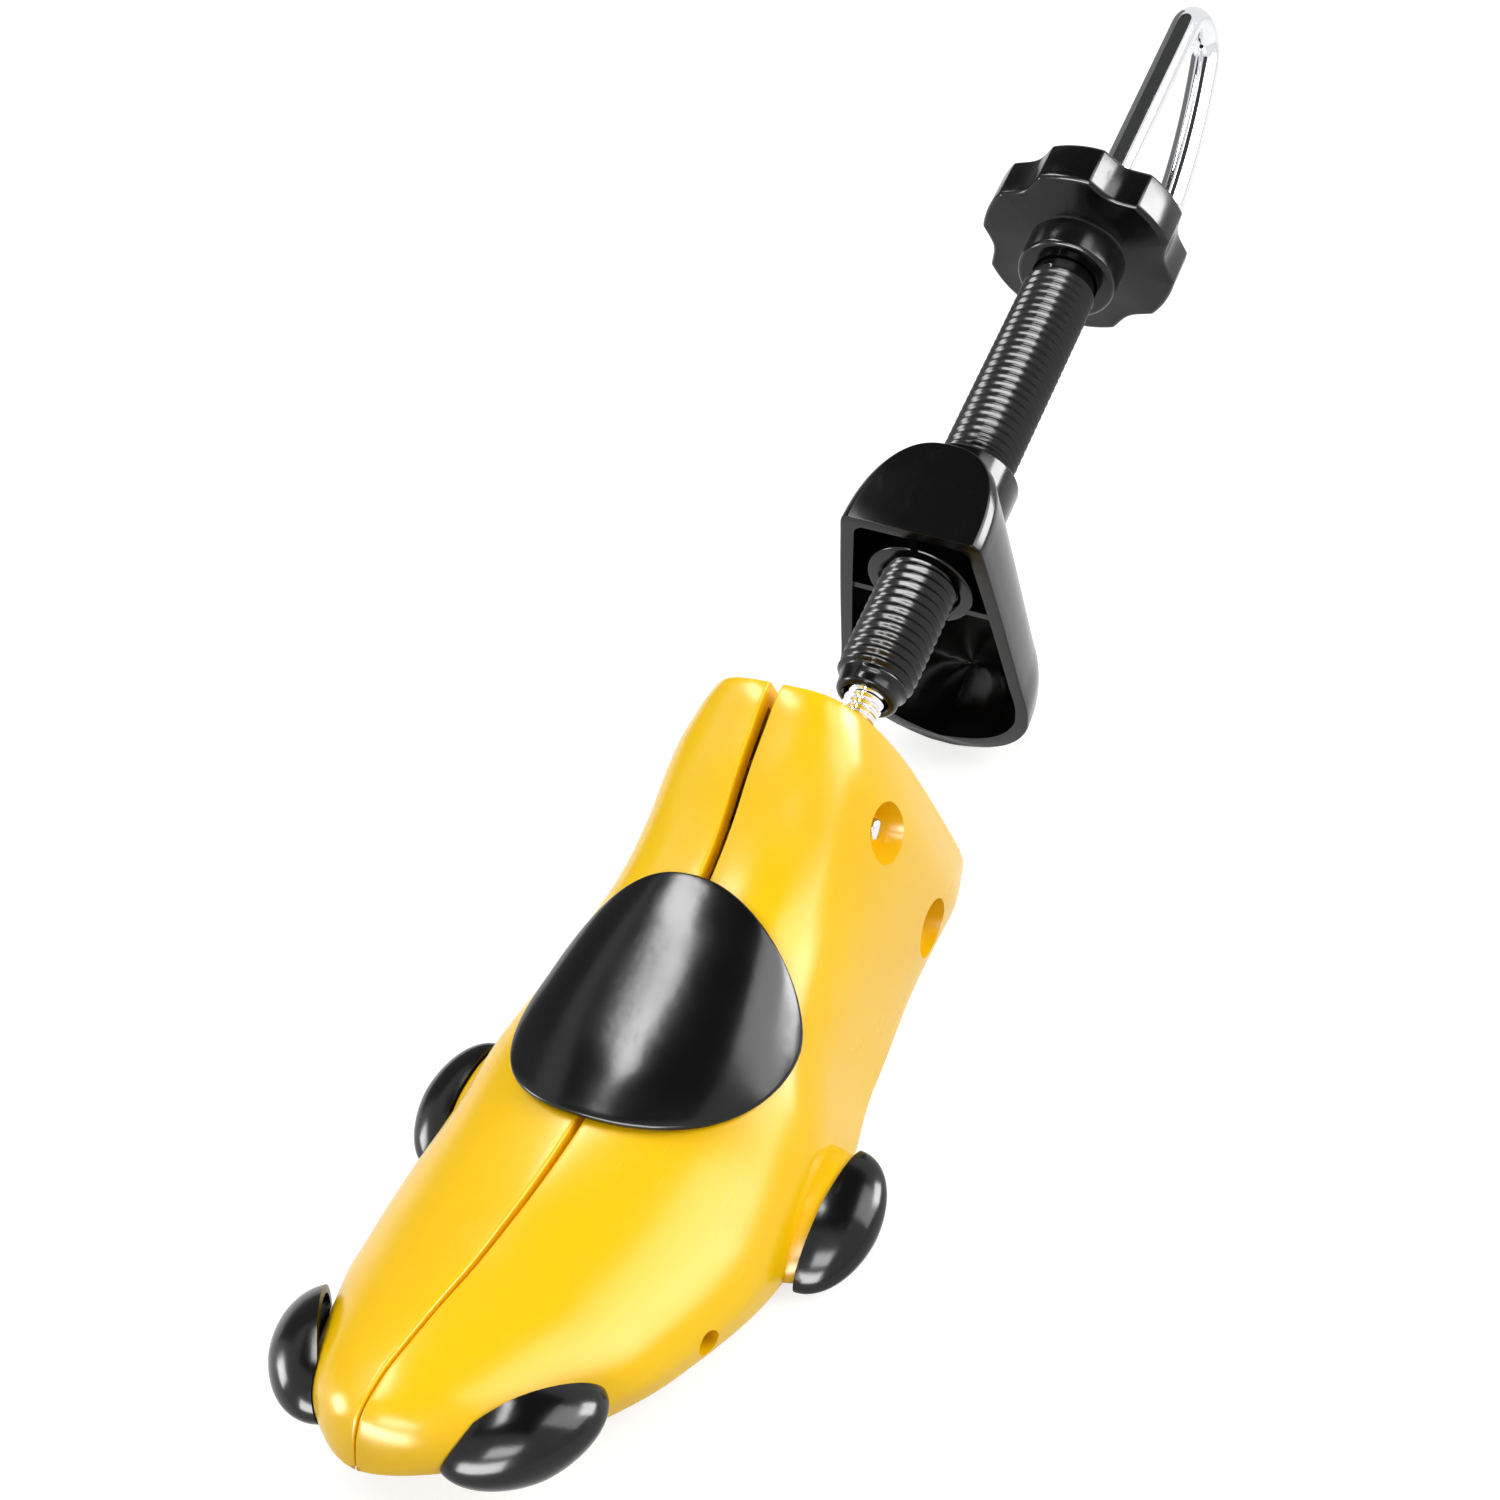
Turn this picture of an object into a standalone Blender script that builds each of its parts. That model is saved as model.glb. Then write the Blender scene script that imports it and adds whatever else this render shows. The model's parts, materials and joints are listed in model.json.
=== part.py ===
"""Two-way shoe stretcher: a split toe block, a screw spindle and a travelling heel block.

Lengths are in metres and angles in degrees. X runs across the stretcher, the toe points to -Y
and +Z is up. The origin is under the middle of the whole, on the surface that it stands on.
Most places below are measured from the cross point, where the spindle's axis passes over zero.
"""

import bpy
import bmesh
import numpy as np
from math import atan2, cos, floor, pi, radians, sin, sqrt
from mathutils import Matrix, Vector

# Clearances
GAP = 0.0003
RUNNING_GAP = 0.0004
THREAD_GAP = 0.00036
OVERRUN = 0.004
STAND_CLEARANCE = 0.0001
SEAT_GAP = 0.0005

# Spindle axis
SPINDLE_TILT = 21.0
CROSS_HEIGHT = 0.0265

# Toe block
TOE_TIP = 0.1349
TOE_REAR_TOP = 0.0074
TOE_REAR_SOLE = 0.0428
TOE_HEIGHT = 0.0650
TOE_HALF_WIDTH = 0.0339
TOE_SPRING_SHARE = 0.2646
TOE_WALL = 0.0026
TOE_REAR_WALL = 0.0032
TOE_TOP_WALL = 0.0034
SEAM_AT_TIP = 0.00016
SEAM_AT_REAR = 0.0015
SPRING_END_SHARE = 0.64
SPRING_POWER = 2.4
TIP_ROUND_SHARE = 0.14
TIP_ROUND_POWER = 2.2
FIRST_STATION_SHARE = 0.0016
STATIONS = 24
STATION_CROWDING = 1.5
UPPER_POINTS = 9
LOWER_POINTS = 5
CAVITY_STATIONS = 12
CAVITY_UPPER_POINTS = 6
CAVITY_LOWER_POINTS = 3
LOWER_POWER = 2.2
# Top line along the seam: share of the block's length, share of its height
TOP_LINE_SHARES = (
    (0.0, 0.262), (0.004, 0.300), (0.012, 0.345), (0.025, 0.382), (0.045, 0.404),
    (0.085, 0.418), (0.15, 0.415), (0.25, 0.402), (0.33, 0.405), (0.44, 0.428),
    (0.54, 0.493), (0.62, 0.550), (0.70, 0.612), (0.77, 0.672), (0.84, 0.762),
    (0.90, 0.868), (0.945, 0.934), (0.985, 0.990), (1.0, 1.0),
)
# Half width at each station: share of the block's length, share of its half width
WIDTH_SHARES = (
    (0.0, 0.40), (0.04, 0.52), (0.12, 0.665), (0.22, 0.865), (0.37, 1.0),
    (0.50, 0.97), (0.65, 0.79), (0.80, 0.705), (0.92, 0.69), (1.0, 0.58),
)
# Height of the widest line, roundness of the upper curve and sole width, along the length
BELLY_SHARES = ((0.0, 0.16), (0.3, 0.18), (0.65, 0.47), (1.0, 0.24))
UPPER_POWERS = ((0.0, 1.75), (0.3, 1.75), (0.5, 2.05), (0.65, 2.65), (1.0, 3.4))
SOLE_SHARES = ((0.0, 0.985), (0.65, 0.985), (1.0, 0.62))

# Hinge block and its two cross pins
HINGE_BACK = 0.0074
UPPER_PIN_RISE = 0.0122
LOWER_PIN_DROP = 0.0206
PIN_RADIUS = 0.0021
PIN_HALF_LENGTH = 0.0203
PIN_CHAMFER = 0.0005
PIVOT_REACH = 0.0175
PIN_SWING = 0.0007
COUNTERBORE_RADIUS = 0.0055
BOSS_RADIUS = 0.0078
BLOCK_HALF_WIDTH = 0.0062
BLOCK_HALF_DEPTH = 0.0062
BLOCK_EYE = 0.0046
BLOCK_TO_BOSS = 0.0011

# Spindle with its hook
ROD_RADIUS = 0.00355
SCREW_RADIUS = 0.0040
SCREW_DEPTH = 0.0006
SCREW_LEAD = 0.0015
SCREW_FRONT = 0.0060
SCREW_REAR = 0.0480
FADE_TURNS = 3
NECK_RADIUS = 0.0026
NECK_FRONT = 0.0380
HOOK_RISE = 0.2440
HOOK_BEND = 0.0067
HOOK_SPLAY = 24.5
HOOK_FREE_LEG = 0.0400
HOOK_LEG_TURN = 21.5
HOOK_PLANE = -79.5
HOOK_STEPS = 10
HOOK_LEG_STEPS = 5
ROD_SIDES = 12

# Spreader on the spindle's front end
SPREADER_FRONT = 0.0342
SPREADER_DEPTH = 0.0084
SPREADER_HALF_WIDTH = 0.0108
SPREADER_HALF_HEIGHT = 0.0058
SPREADER_BEVEL = 0.0008
POST_RADIUS = 0.0022
POST_REACH = 0.0076
POST_TOP = 0.0132
POST_FOOT = 0.0046
CLIP_RADIUS = 0.0050
CLIP_THICKNESS = 0.0010
CLIP_STANDOFF = 0.0005
TRACK_HEIGHT = 0.0088
TRACK_THICKNESS = 0.0030
TRACK_INNER = 0.0034
SLOT_STEPS = 6
SPREADER_TRAVEL = 0.0090
OPEN_ANGLE = 3.0

# Threaded tube
TUBE_RADIUS = 0.0080
TUBE_THREAD_DEPTH = 0.0009
TUBE_LEAD = 0.0021
TUBE_BORE = 0.0046
TUBE_NOSE = 0.0418
TUBE_MOUTH_ROUND = 0.0016
TUBE_SPIGOT_RADIUS = 0.0068
TUBE_SIDES = 14

# Knob and what holds it on the spindle
KNOB_FRONT = 0.1662
KNOB_RADIUS = 0.0222
KNOB_THICKNESS = 0.0110
KNOB_BEVEL = 0.0009
KNOB_LOBES = 6
KNOB_FLUTE_SHARE = 0.90
KNOB_PHASE = 103.4
KNOB_POINTS = 4
KNOB_BOSS_RADIUS = 0.0111
KNOB_BOSS_LENGTH = 0.0079
KNOB_SOCKET_END = 0.0050
KNOB_RECESS_RADIUS = 0.0090
COLLAR_RADIUS = 0.0068
COLLAR_LENGTH = 0.0028
CAP_LENGTH = 0.0018

# Heel block
HEEL_FRONT = 0.0701
HEEL_ROLL = 7.75
HEEL_TOP = 0.0184
HEEL_DEPTH = 0.0229
HEEL_HALF_WIDTH = 0.0213
HEEL_WALL = 0.0026
HEEL_HUB_RADIUS = 0.0114
HEEL_BOSS_RADIUS = 0.0105
HEEL_HUB_LENGTH = 0.0303
HEEL_HUB_SETBACK = 0.0008
HEEL_RIB = 0.0016
HEEL_SIDE_RIB_DROP = 0.0050
HEEL_PLAN_POWER = 2.5
HEEL_PLAN_POINTS = 14
LEVELLING_ROUNDS = 6
# Half width down the front opening: share of the drop from top to bottom, share of half width
HEEL_OUTLINE_SHARES = (
    (0.0, 0.615), (0.022, 0.690), (0.07, 0.715), (0.33, 0.835), (0.62, 0.955), (0.735, 1.0),
    (0.80, 0.985), (0.865, 0.90), (0.92, 0.75), (0.962, 0.54), (0.988, 0.31), (1.0, 0.14),
)

# Instep pad
PAD_CENTRE_SHARE = 0.614
PAD_HALF_LENGTH_SHARE = 0.160
PAD_HALF_WIDTH = 0.0226
PAD_SHIFT = 0.0026
PAD_SKEW = 0.0016
PAD_STANDOFF = 0.0007
PAD_THICKNESS = 0.0032
PAD_RIM = 0.0011
PAD_CROWN_POWER = 2.5
PAD_POWER = 2.25
PAD_TAPER = 0.19
PAD_RINGS = 5
PAD_POINTS = 28
PEG_RADIUS = 0.0030
PEG_DEPTH = 0.0100

# Bunion plugs
PLUG_HALF_LENGTH = 0.0133
FRONT_PLUG_HEIGHT_SHARE = 0.1015
REAR_PLUG_HEIGHT_SHARE = 0.08
PLUG_DOME = 0.0092
PLUG_WALL = 0.0015
PLUG_ALMOND_POWER = 1.75
PLUG_POINTS = 16
PLUG_RINGS = 4
PLUG_PEG_RADIUS = 0.0019
PLUG_PEG_REACH = 0.0100
SOCKET_WALL = 0.0020
SPIGOT_WALL = 0.0011
SPIGOT_REACH = 0.0006
SOCKET_DEPTH = 0.0125
PEG_SIDES = 12
# Plug places: share of the block's length, then quarters of the section's curve from its top
FRONT_PLUG_SHARES = (0.0917, 0.8787)
FRONT_PLUG_SINK = 0.0017
FRONT_PLUG_TURN = -36.0
FRONT_PLUG_ROLL = -1.0
REAR_PLUG_SHARES = (0.4577, 1.2015)
REAR_PLUG_SINK = -0.00304
REAR_PLUG_TURN = -2.8
REAR_PLUG_ROLL = 19.0
SPARE_SOCKET_SHARES = (0.2705, 1.0548)
SPARE_SOCKET_SINK = 0.0008
SPARE_SOCKET_TURN = -18.0

# Colours, roughness, metallic
YELLOW_PLASTIC = ((0.99, 0.63, 0.0, 1.0), 0.28, 0.0)
BLACK_PLASTIC = ((0.012, 0.012, 0.013, 1.0), 0.22, 0.0)
CHROME = ((0.78, 0.79, 0.80, 1.0), 0.12, 1.0)
DARK_STEEL = ((0.20, 0.20, 0.21, 1.0), 0.38, 1.0)

BORE_SIDES = 16
SMOOTH_ANGLE = 40.0


# Small tools

def clear_scene():
    """Remove every object of the open scene."""
    for thing in list(bpy.data.objects):
        bpy.data.objects.remove(thing, do_unlink=True)


def make_material(name, look):
    """Return a Principled material with the given colour, roughness and metallic value."""
    colour, roughness, metallic = look
    material = bpy.data.materials.new(name)
    material.use_nodes = True
    shader = material.node_tree.nodes["Principled BSDF"]
    shader.inputs["Base Color"].default_value = colour
    shader.inputs["Roughness"].default_value = roughness
    shader.inputs["Metallic"].default_value = metallic
    material.diffuse_color = colour
    return material


def make_empty(name, parent=None, place=(0, 0, 0), turn=(0, 0, 0)):
    """Return an empty that carries the pieces parented to it."""
    empty = bpy.data.objects.new(name, None)
    bpy.context.scene.collection.objects.link(empty)
    empty.parent = parent
    empty.location = place
    empty.rotation_euler = [radians(angle) for angle in turn]
    return empty


def make_object(name, points, faces, material=None, parent=None, place=(0, 0, 0)):
    """Return a mesh object of one closed body, with its faces pointing out."""
    mesh = bpy.data.meshes.new(name)
    mesh.from_pydata([tuple(point) for point in points], [], faces)
    shell = bmesh.new()
    shell.from_mesh(mesh)
    bmesh.ops.recalc_face_normals(shell, faces=shell.faces)
    shell.to_mesh(mesh)
    shell.free()
    if material is not None:
        mesh.materials.append(material)
    thing = bpy.data.objects.new(name, mesh)
    bpy.context.scene.collection.objects.link(thing)
    thing.parent = parent
    thing.location = place
    return thing


def finish(thing):
    """Shade a finished piece smooth, with its real edges kept sharp."""
    thing.data.shade_smooth()
    thing.data.set_sharp_from_angle(angle=radians(SMOOTH_ANGLE))
    return thing


def combine(target, tool, operation):
    """Apply a Boolean of target and tool, then drop the tool."""
    tool.hide_render = True
    tool.display_type = "WIRE"
    boolean = target.modifiers.new("combine", "BOOLEAN")
    boolean.operation = operation
    boolean.solver = "EXACT"
    boolean.object = tool
    bpy.context.view_layer.update()
    graph = bpy.context.evaluated_depsgraph_get()
    mesh = bpy.data.meshes.new_from_object(target.evaluated_get(graph))
    target.modifiers.remove(boolean)
    target.data = mesh
    bpy.data.objects.remove(tool, do_unlink=True)


def cut(target, tool):
    """Take the tool's volume out of the target."""
    combine(target, tool, "DIFFERENCE")


def weld(target, tool):
    """Add the tool's volume to the target."""
    combine(target, tool, "UNION")


def smooth_value(table, where):
    """Read a table of (place, value) pairs along a smooth curve that never overshoots them."""
    places = np.array([row[0] for row in table], dtype=float)
    values = np.array([row[1] for row in table], dtype=float)
    steps = np.diff(places)
    slopes = np.diff(values) / steps
    tangents = np.zeros(len(places))
    for index in range(1, len(places) - 1):
        before, after = slopes[index - 1], slopes[index]
        if before * after > 0:
            tangents[index] = 2 * before * after / (before + after)
    tangents[0], tangents[-1] = slopes[0], slopes[-1]
    where = np.clip(np.asarray(where, dtype=float), places[0], places[-1])
    piece = np.clip(np.searchsorted(places, where, side="right") - 1, 0, len(steps) - 1)
    width = steps[piece]
    t = (where - places[piece]) / width
    start, end = values[piece], values[piece + 1]
    first, last = tangents[piece] * width, tangents[piece + 1] * width
    return ((2 * t**3 - 3 * t**2 + 1) * start + (t**3 - 2 * t**2 + t) * first
            + (3 * t**2 - 2 * t**3) * end + (t**3 - t**2) * last)


def loft(rings, closed_ends=True, joined=False):
    """Return points and faces of a skin through rings that have equally many points."""
    count = len(rings[0])
    points = [point for ring in rings for point in ring]
    faces = []
    spans = len(rings) if joined else len(rings) - 1
    for row in range(spans):
        base = row * count
        following = ((row + 1) % len(rings)) * count
        for index in range(count):
            beside = (index + 1) % count
            faces.append((base + index, base + beside, following + beside, following + index))
    if closed_ends and not joined:
        faces.append(tuple(range(count)))
        faces.append(tuple(range((len(rings) - 1) * count, len(rings) * count)))
    return points, faces


def circle(along, radius, sides):
    """Return a ring round the local Y axis."""
    angles = [2 * pi * index / sides for index in range(sides)]
    return [(radius * sin(angle), along, radius * cos(angle)) for angle in angles]


def turned(profile, sides, bored=False):
    """Return points and faces of a piece turned round Y from (along, radius) pairs."""
    return loft([circle(along, radius, sides) for along, radius in profile], joined=bored)


def rod(name, start, end, radius, sides=BORE_SIDES, **settings):
    """Return a plain cylinder along local Y."""
    return make_object(name, *turned(((start, radius), (end, radius)), sides), **settings)


def threaded(before, screw, after, sides, bored=False):
    """Return points and faces of a turned piece with a right-hand thread between two ring lists.

    screw is (start, length, crest radius, depth, lead). The thread's ridge is one unbroken helix,
    with a point at each root and each crest, and it dies out into the root at both ends.
    """
    start, length, crest, depth, lead = screw
    lines = 2 * int(round(length / lead))
    rings = list(before)
    first = len(rings) * sides
    for line in range(lines + 1):
        ridge = line % 2 == 1 and 2 < line < lines - 2
        radius = crest if ridge else crest - depth
        angles = [2 * pi * index / sides for index in range(sides)]
        rings.append([
            (radius * sin(angle), start + lead * (line / 2 + angle / (2 * pi)), radius * cos(angle))
            for angle in angles
        ])
    last = first + lines * sides
    rings.extend(after)
    points = [point for ring in rings for point in ring]
    faces = []
    for line in range(lines):
        base = first + line * sides
        for index in range(sides - 1):
            faces.append((base + index, base + index + 1, base + sides + index + 1,
                          base + sides + index))
        if line + 3 <= lines:
            faces.append((base + sides - 1, base + 2 * sides, base + 3 * sides,
                          base + 2 * sides - 1))
    ring = first - sides
    for index in range(sides - 1):
        faces.append((ring + index, ring + index + 1, first + index + 1, first + index))
    faces.append((ring + sides - 1, ring, first, first + sides, first + 2 * sides,
                  first + sides - 1))
    ring = last + sides
    for index in range(sides - 1):
        faces.append((last + index, last + index + 1, ring + index + 1, ring + index))
    faces.append((ring + sides - 1, ring, last, last - sides - 1, last - 1, last + sides - 1))
    count = len(rings)
    plain = list(range(len(before) - 1)) + list(range(count - len(after), count - 1))
    if bored:
        plain.append(count - 1)
    for row in plain:
        base = row * sides
        following = ((row + 1) % count) * sides
        for index in range(sides):
            beside = (index + 1) % sides
            faces.append((base + index, base + beside, following + beside, following + index))
    if not bored:
        faces.append(tuple(range(sides)))
        faces.append(tuple(range((count - 1) * sides, count * sides)))
    return points, faces


def oval_point(angle, power):
    """Return a point of the unit oval: power 2 is a circle, less is pointed, more is squarer."""
    x, z = cos(angle), sin(angle)
    return abs(x) ** (2 / power) * (1 if x > 0 else -1), abs(z) ** (2 / power) * (1 if z > 0 else -1)


def moved(shape, frame):
    """Return points and faces with the points carried along by a frame."""
    points, faces = shape
    return [frame @ Vector(point) for point in points], faces


def box_between(name, low, high):
    """Return a box between two corners."""
    corners = [
        [(low[0], along, low[2]), (high[0], along, low[2]),
         (high[0], along, high[2]), (low[0], along, high[2])]
        for along in (low[1], high[1])
    ]
    return make_object(name, *loft(corners))


def spindle_to_stand(along, rise, across=0.0):
    """Return the place that lies so far along and above the spindle's axis."""
    tilt = radians(SPINDLE_TILT)
    return Vector((across, along * cos(tilt) - rise * sin(tilt),
                   CROSS_HEIGHT + along * sin(tilt) + rise * cos(tilt)))


def set_on_spindle(thing, place=(0, 0, 0)):
    """Give a cutter the spindle's tilt, so that its local Y runs along the axis."""
    thing.rotation_euler = (radians(SPINDLE_TILT), 0, 0)
    thing.location = spindle_to_stand(place[1], place[2], place[0])
    return thing


# Toe block

def seam_half_gap(along):
    """Return how far each half stands off the middle plane at a place along Y."""
    span = TOE_TIP + TOE_REAR_SOLE
    return SEAM_AT_TIP + (SEAM_AT_REAR - SEAM_AT_TIP) * (along + TOE_TIP) / span


def station(share, wall=0.0, roof=0.0):
    """Return the top point, sole point, half width and curve shape of one cross section.

    A wall draws the section's flank and sole in, and a roof draws its top down.
    """
    top_along = -TOE_TIP + (TOE_TIP + TOE_REAR_TOP) * share
    sole_along = -TOE_TIP + (TOE_TIP + TOE_REAR_SOLE) * share
    top = TOE_HEIGHT * smooth_value(TOP_LINE_SHARES, share)
    spring = TOE_HEIGHT * TOE_SPRING_SHARE
    sole = spring * max(0.0, 1 - share / SPRING_END_SHARE) ** SPRING_POWER
    tip = min(1.0, share / TIP_ROUND_SHARE)
    nose = (1 - (1 - tip) ** TIP_ROUND_POWER) ** (1 / TIP_ROUND_POWER)
    width = TOE_HALF_WIDTH * smooth_value(WIDTH_SHARES, share) * nose
    belly = smooth_value(BELLY_SHARES, share)
    power = smooth_value(UPPER_POWERS, share)
    flat = smooth_value(SOLE_SHARES, share)
    rise = Vector((0, top_along - sole_along, top - sole))
    foot = Vector((0, sole_along, sole))
    bottom = foot + rise * (wall / rise.length)
    crown = foot + rise * (1 - roof / rise.length)
    return crown, bottom, width - wall, belly, power, flat


def section_point(shape, turn, upper):
    """Return one point of a cross section's curve, on its upper or its lower quarter."""
    crown, bottom, width, belly, power, flat = shape
    if upper:
        across = width * sin(turn) ** (2 / power)
        height = belly + (1 - belly) * max(0.0, cos(turn)) ** (2 / power)
    else:
        across = width * (flat + (1 - flat) * max(0.0, cos(turn)) ** (2 / LOWER_POWER))
        height = belly * (1 - sin(turn) ** (2 / LOWER_POWER))
    place = bottom + (crown - bottom) * height
    return Vector((across, place.y, place.z))


def section_ring(shape, side, inner=None, upper=UPPER_POINTS, lower=LOWER_POINTS):
    """Return a closed ring round one half's cross section, from the seam's top to its foot."""
    curve = [section_point(shape, pi / 2 * index / upper, True) for index in range(upper + 1)]
    curve += [section_point(shape, pi / 2 * index / lower, False)
              for index in range(1, lower + 1)]
    curve.append(Vector((0, curve[-1].y, curve[-1].z)))
    width = max(point.x for point in curve)
    ring = []
    for point in curve:
        gap = seam_half_gap(point.y) if inner is None else inner
        across = gap + point.x * (1 - gap / width)
        ring.append((side * across, point.y, point.z))
    return ring


def surface_point(share, across):
    """Return the toe block's upper surface at a station, so far off the middle plane."""
    crown, bottom, width, belly, power, _ = station(share)
    part = min(1.0, abs(across) / width)
    height = belly + (1 - belly) * (1 - part**power) ** (1 / power)
    place = bottom + (crown - bottom) * height
    return Vector((across, place.y, place.z))


def lateral_rod(name, along, height, start, end, radius, side, sides=BORE_SIDES):
    """Return a cylinder that runs outwards along X."""
    thing = rod(name, start, end, radius, sides)
    thing.rotation_euler = (0, 0, -side * pi / 2)
    thing.location = (0, along, height)
    return thing


def plug_frame(place, turn, roll, side):
    """Return the frame whose Y points out of the flank and whose Z is across the almond."""
    outwards = Matrix.Rotation(radians(turn - 90), 4, "Z")
    rolled = Matrix.Rotation(radians(roll), 4, "Y")
    frame = Matrix.Translation(Vector(place)) @ outwards @ rolled
    return Matrix.Scale(side, 4, Vector((1, 0, 0))) @ frame


def flank_rod(name, place, turn, side, start, end, radius):
    """Return a cylinder square to the flank, as bores and pegs run."""
    shape = turned(((start, radius), (end, radius)), PEG_SIDES)
    return make_object(name, *moved(shape, plug_frame(place, turn, 0.0, side)))


def slot_ends(side):
    """Return where the spreader's post stands in the half's own frame, shut and open."""
    shut = Vector((side * POST_REACH, -(SPREADER_FRONT - SPREADER_DEPTH / 2), 0))
    opened = shut - Vector((0, SPREADER_TRAVEL, 0))
    pivot = Vector((side * PIVOT_REACH, HINGE_BACK, 0))
    back = Matrix.Rotation(-side * radians(OPEN_ANGLE), 3, "Z")
    return shut, pivot + back @ (opened - pivot)


def post_slot(side):
    """Return the cutter for the slanting slot that the spreader's post slides in."""
    shut, opened = slot_ends(side)
    radius = POST_RADIUS + RUNNING_GAP
    run = opened - shut
    heading = atan2(run.y, run.x)
    outline = []
    for centre, base in ((opened, heading), (shut, heading + pi)):
        for index in range(SLOT_STEPS + 1):
            angle = base - pi / 2 + pi * index / SLOT_STEPS
            outline.append((centre.x + radius * cos(angle), centre.y + radius * sin(angle)))
    low = TRACK_HEIGHT - OVERRUN
    high = TRACK_HEIGHT + TRACK_THICKNESS + OVERRUN
    rings = [[(x, y, height) for x, y in outline] for height in (low, high)]
    return set_on_spindle(make_object("slot", *loft(rings)))


def hinge_pins():
    """Return the places along Y and Z of the upper and the lower cross pin."""
    upper = spindle_to_stand(HINGE_BACK, UPPER_PIN_RISE)
    lower = spindle_to_stand(HINGE_BACK, -LOWER_PIN_DROP)
    return upper, lower


def make_cavity(side):
    """Return the hollow of one half, with the shapes that stand in it left out."""
    shares = np.linspace(TIP_ROUND_SHARE / 2, 1 - TOE_REAR_WALL / TOE_TIP, CAVITY_STATIONS)
    rings = [section_ring(station(share, TOE_WALL, TOE_TOP_WALL), side, -OVERRUN,
                          CAVITY_UPPER_POINTS, CAVITY_LOWER_POINTS) for share in shares]
    cavity = make_object("cavity", *loft(rings))
    inner = BLOCK_HALF_WIDTH + BLOCK_TO_BOSS
    for pin in hinge_pins():
        cut(cavity, lateral_rod("boss", pin.y, pin.z, inner, TOE_HALF_WIDTH, BOSS_RADIUS, side))
    back = -(SPREADER_FRONT - SPREADER_DEPTH / 2) + SPREADER_DEPTH
    front = back - SPREADER_TRAVEL - 2 * SPREADER_DEPTH
    sides = sorted((side * TRACK_INNER, side * TOE_HALF_WIDTH))
    track = box_between("track", (sides[0], front, TRACK_HEIGHT),
                        (sides[1], back, TRACK_HEIGHT + TRACK_THICKNESS))
    cut(cavity, set_on_spindle(track))
    for place, turn in (front_seat(), spare_seat(), rear_seat()):
        wall = PLUG_PEG_RADIUS + GAP + SOCKET_WALL
        cut(cavity, flank_rod("wall", place, turn, side, -SOCKET_DEPTH, OVERRUN, wall))
    return cavity


def flank_place(shares, sink, turn):
    """Return a place on the right flank, sunk into it by a depth against the given heading."""
    along, quarters = shares
    upper = quarters <= 1
    curve_turn = pi / 2 * (quarters if upper else quarters - 1)
    surface = section_point(station(along), curve_turn, upper)
    heading = Vector((cos(radians(turn)), sin(radians(turn)), 0))
    return surface - heading * sink


def front_seat():
    """Return the place and heading of the front plug and its socket."""
    return flank_place(FRONT_PLUG_SHARES, FRONT_PLUG_SINK, FRONT_PLUG_TURN), FRONT_PLUG_TURN


def rear_seat():
    """Return the place and heading of the rear plug and its socket."""
    return flank_place(REAR_PLUG_SHARES, REAR_PLUG_SINK, REAR_PLUG_TURN), REAR_PLUG_TURN


def spare_seat():
    """Return the place and heading of the socket that no plug is in."""
    return (flank_place(SPARE_SOCKET_SHARES, SPARE_SOCKET_SINK, SPARE_SOCKET_TURN),
            SPARE_SOCKET_TURN)


def half_skin(side, growth=0.0):
    """Return points and faces of one solid half, grown all round by a clearance."""
    spread = np.linspace(0, 1, STATIONS) ** STATION_CROWDING
    shares = FIRST_STATION_SHARE + (1 - FIRST_STATION_SHARE) * spread
    return loft([section_ring(station(share, -growth, -growth), side) for share in shares])


def make_toe_half(name, side, material, stand):
    """Make one hollow half of the toe block, with its bosses, slot track and sockets."""
    half = make_object(name, *half_skin(side), material=material)
    cut(half, make_cavity(side))
    weld(half, make_spigot(side))
    inner = BLOCK_HALF_WIDTH
    for pin in hinge_pins():
        hole = PIN_RADIUS + PIN_SWING
        cut(half, lateral_rod("hole", pin.y, pin.z, inner, TOE_HALF_WIDTH, hole, side))
        cut(half, lateral_rod("bore", pin.y, pin.z, PIVOT_REACH, TOE_HALF_WIDTH,
                              COUNTERBORE_RADIUS, side))
    cut(half, post_slot(side))
    for place, turn in (front_seat(), spare_seat(), rear_seat()):
        cut(half, flank_rod("socket", place, turn, side, -PLUG_PEG_REACH - RUNNING_GAP,
                            PLUG_DOME + OVERRUN, PLUG_PEG_RADIUS + GAP))
    mouth = SCREW_RADIUS + SEAM_AT_REAR
    cut(half, set_on_spindle(rod("mouth", 0, HEEL_FRONT, mouth)))
    peg = surface_point(PAD_CENTRE_SHARE, 0)
    hole = rod("peg hole", -PEG_DEPTH - OVERRUN, OVERRUN, PEG_RADIUS + GAP, PEG_SIDES)
    hole.rotation_euler = (pi / 2, 0, 0)
    hole.location = peg
    cut(half, hole)
    pivot = spindle_to_stand(HINGE_BACK, 0, side * PIVOT_REACH)
    half.data.transform(Matrix.Translation(-pivot))
    half.parent = stand
    half.location = pivot
    return finish(half)


# Pieces on the toe block

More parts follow.
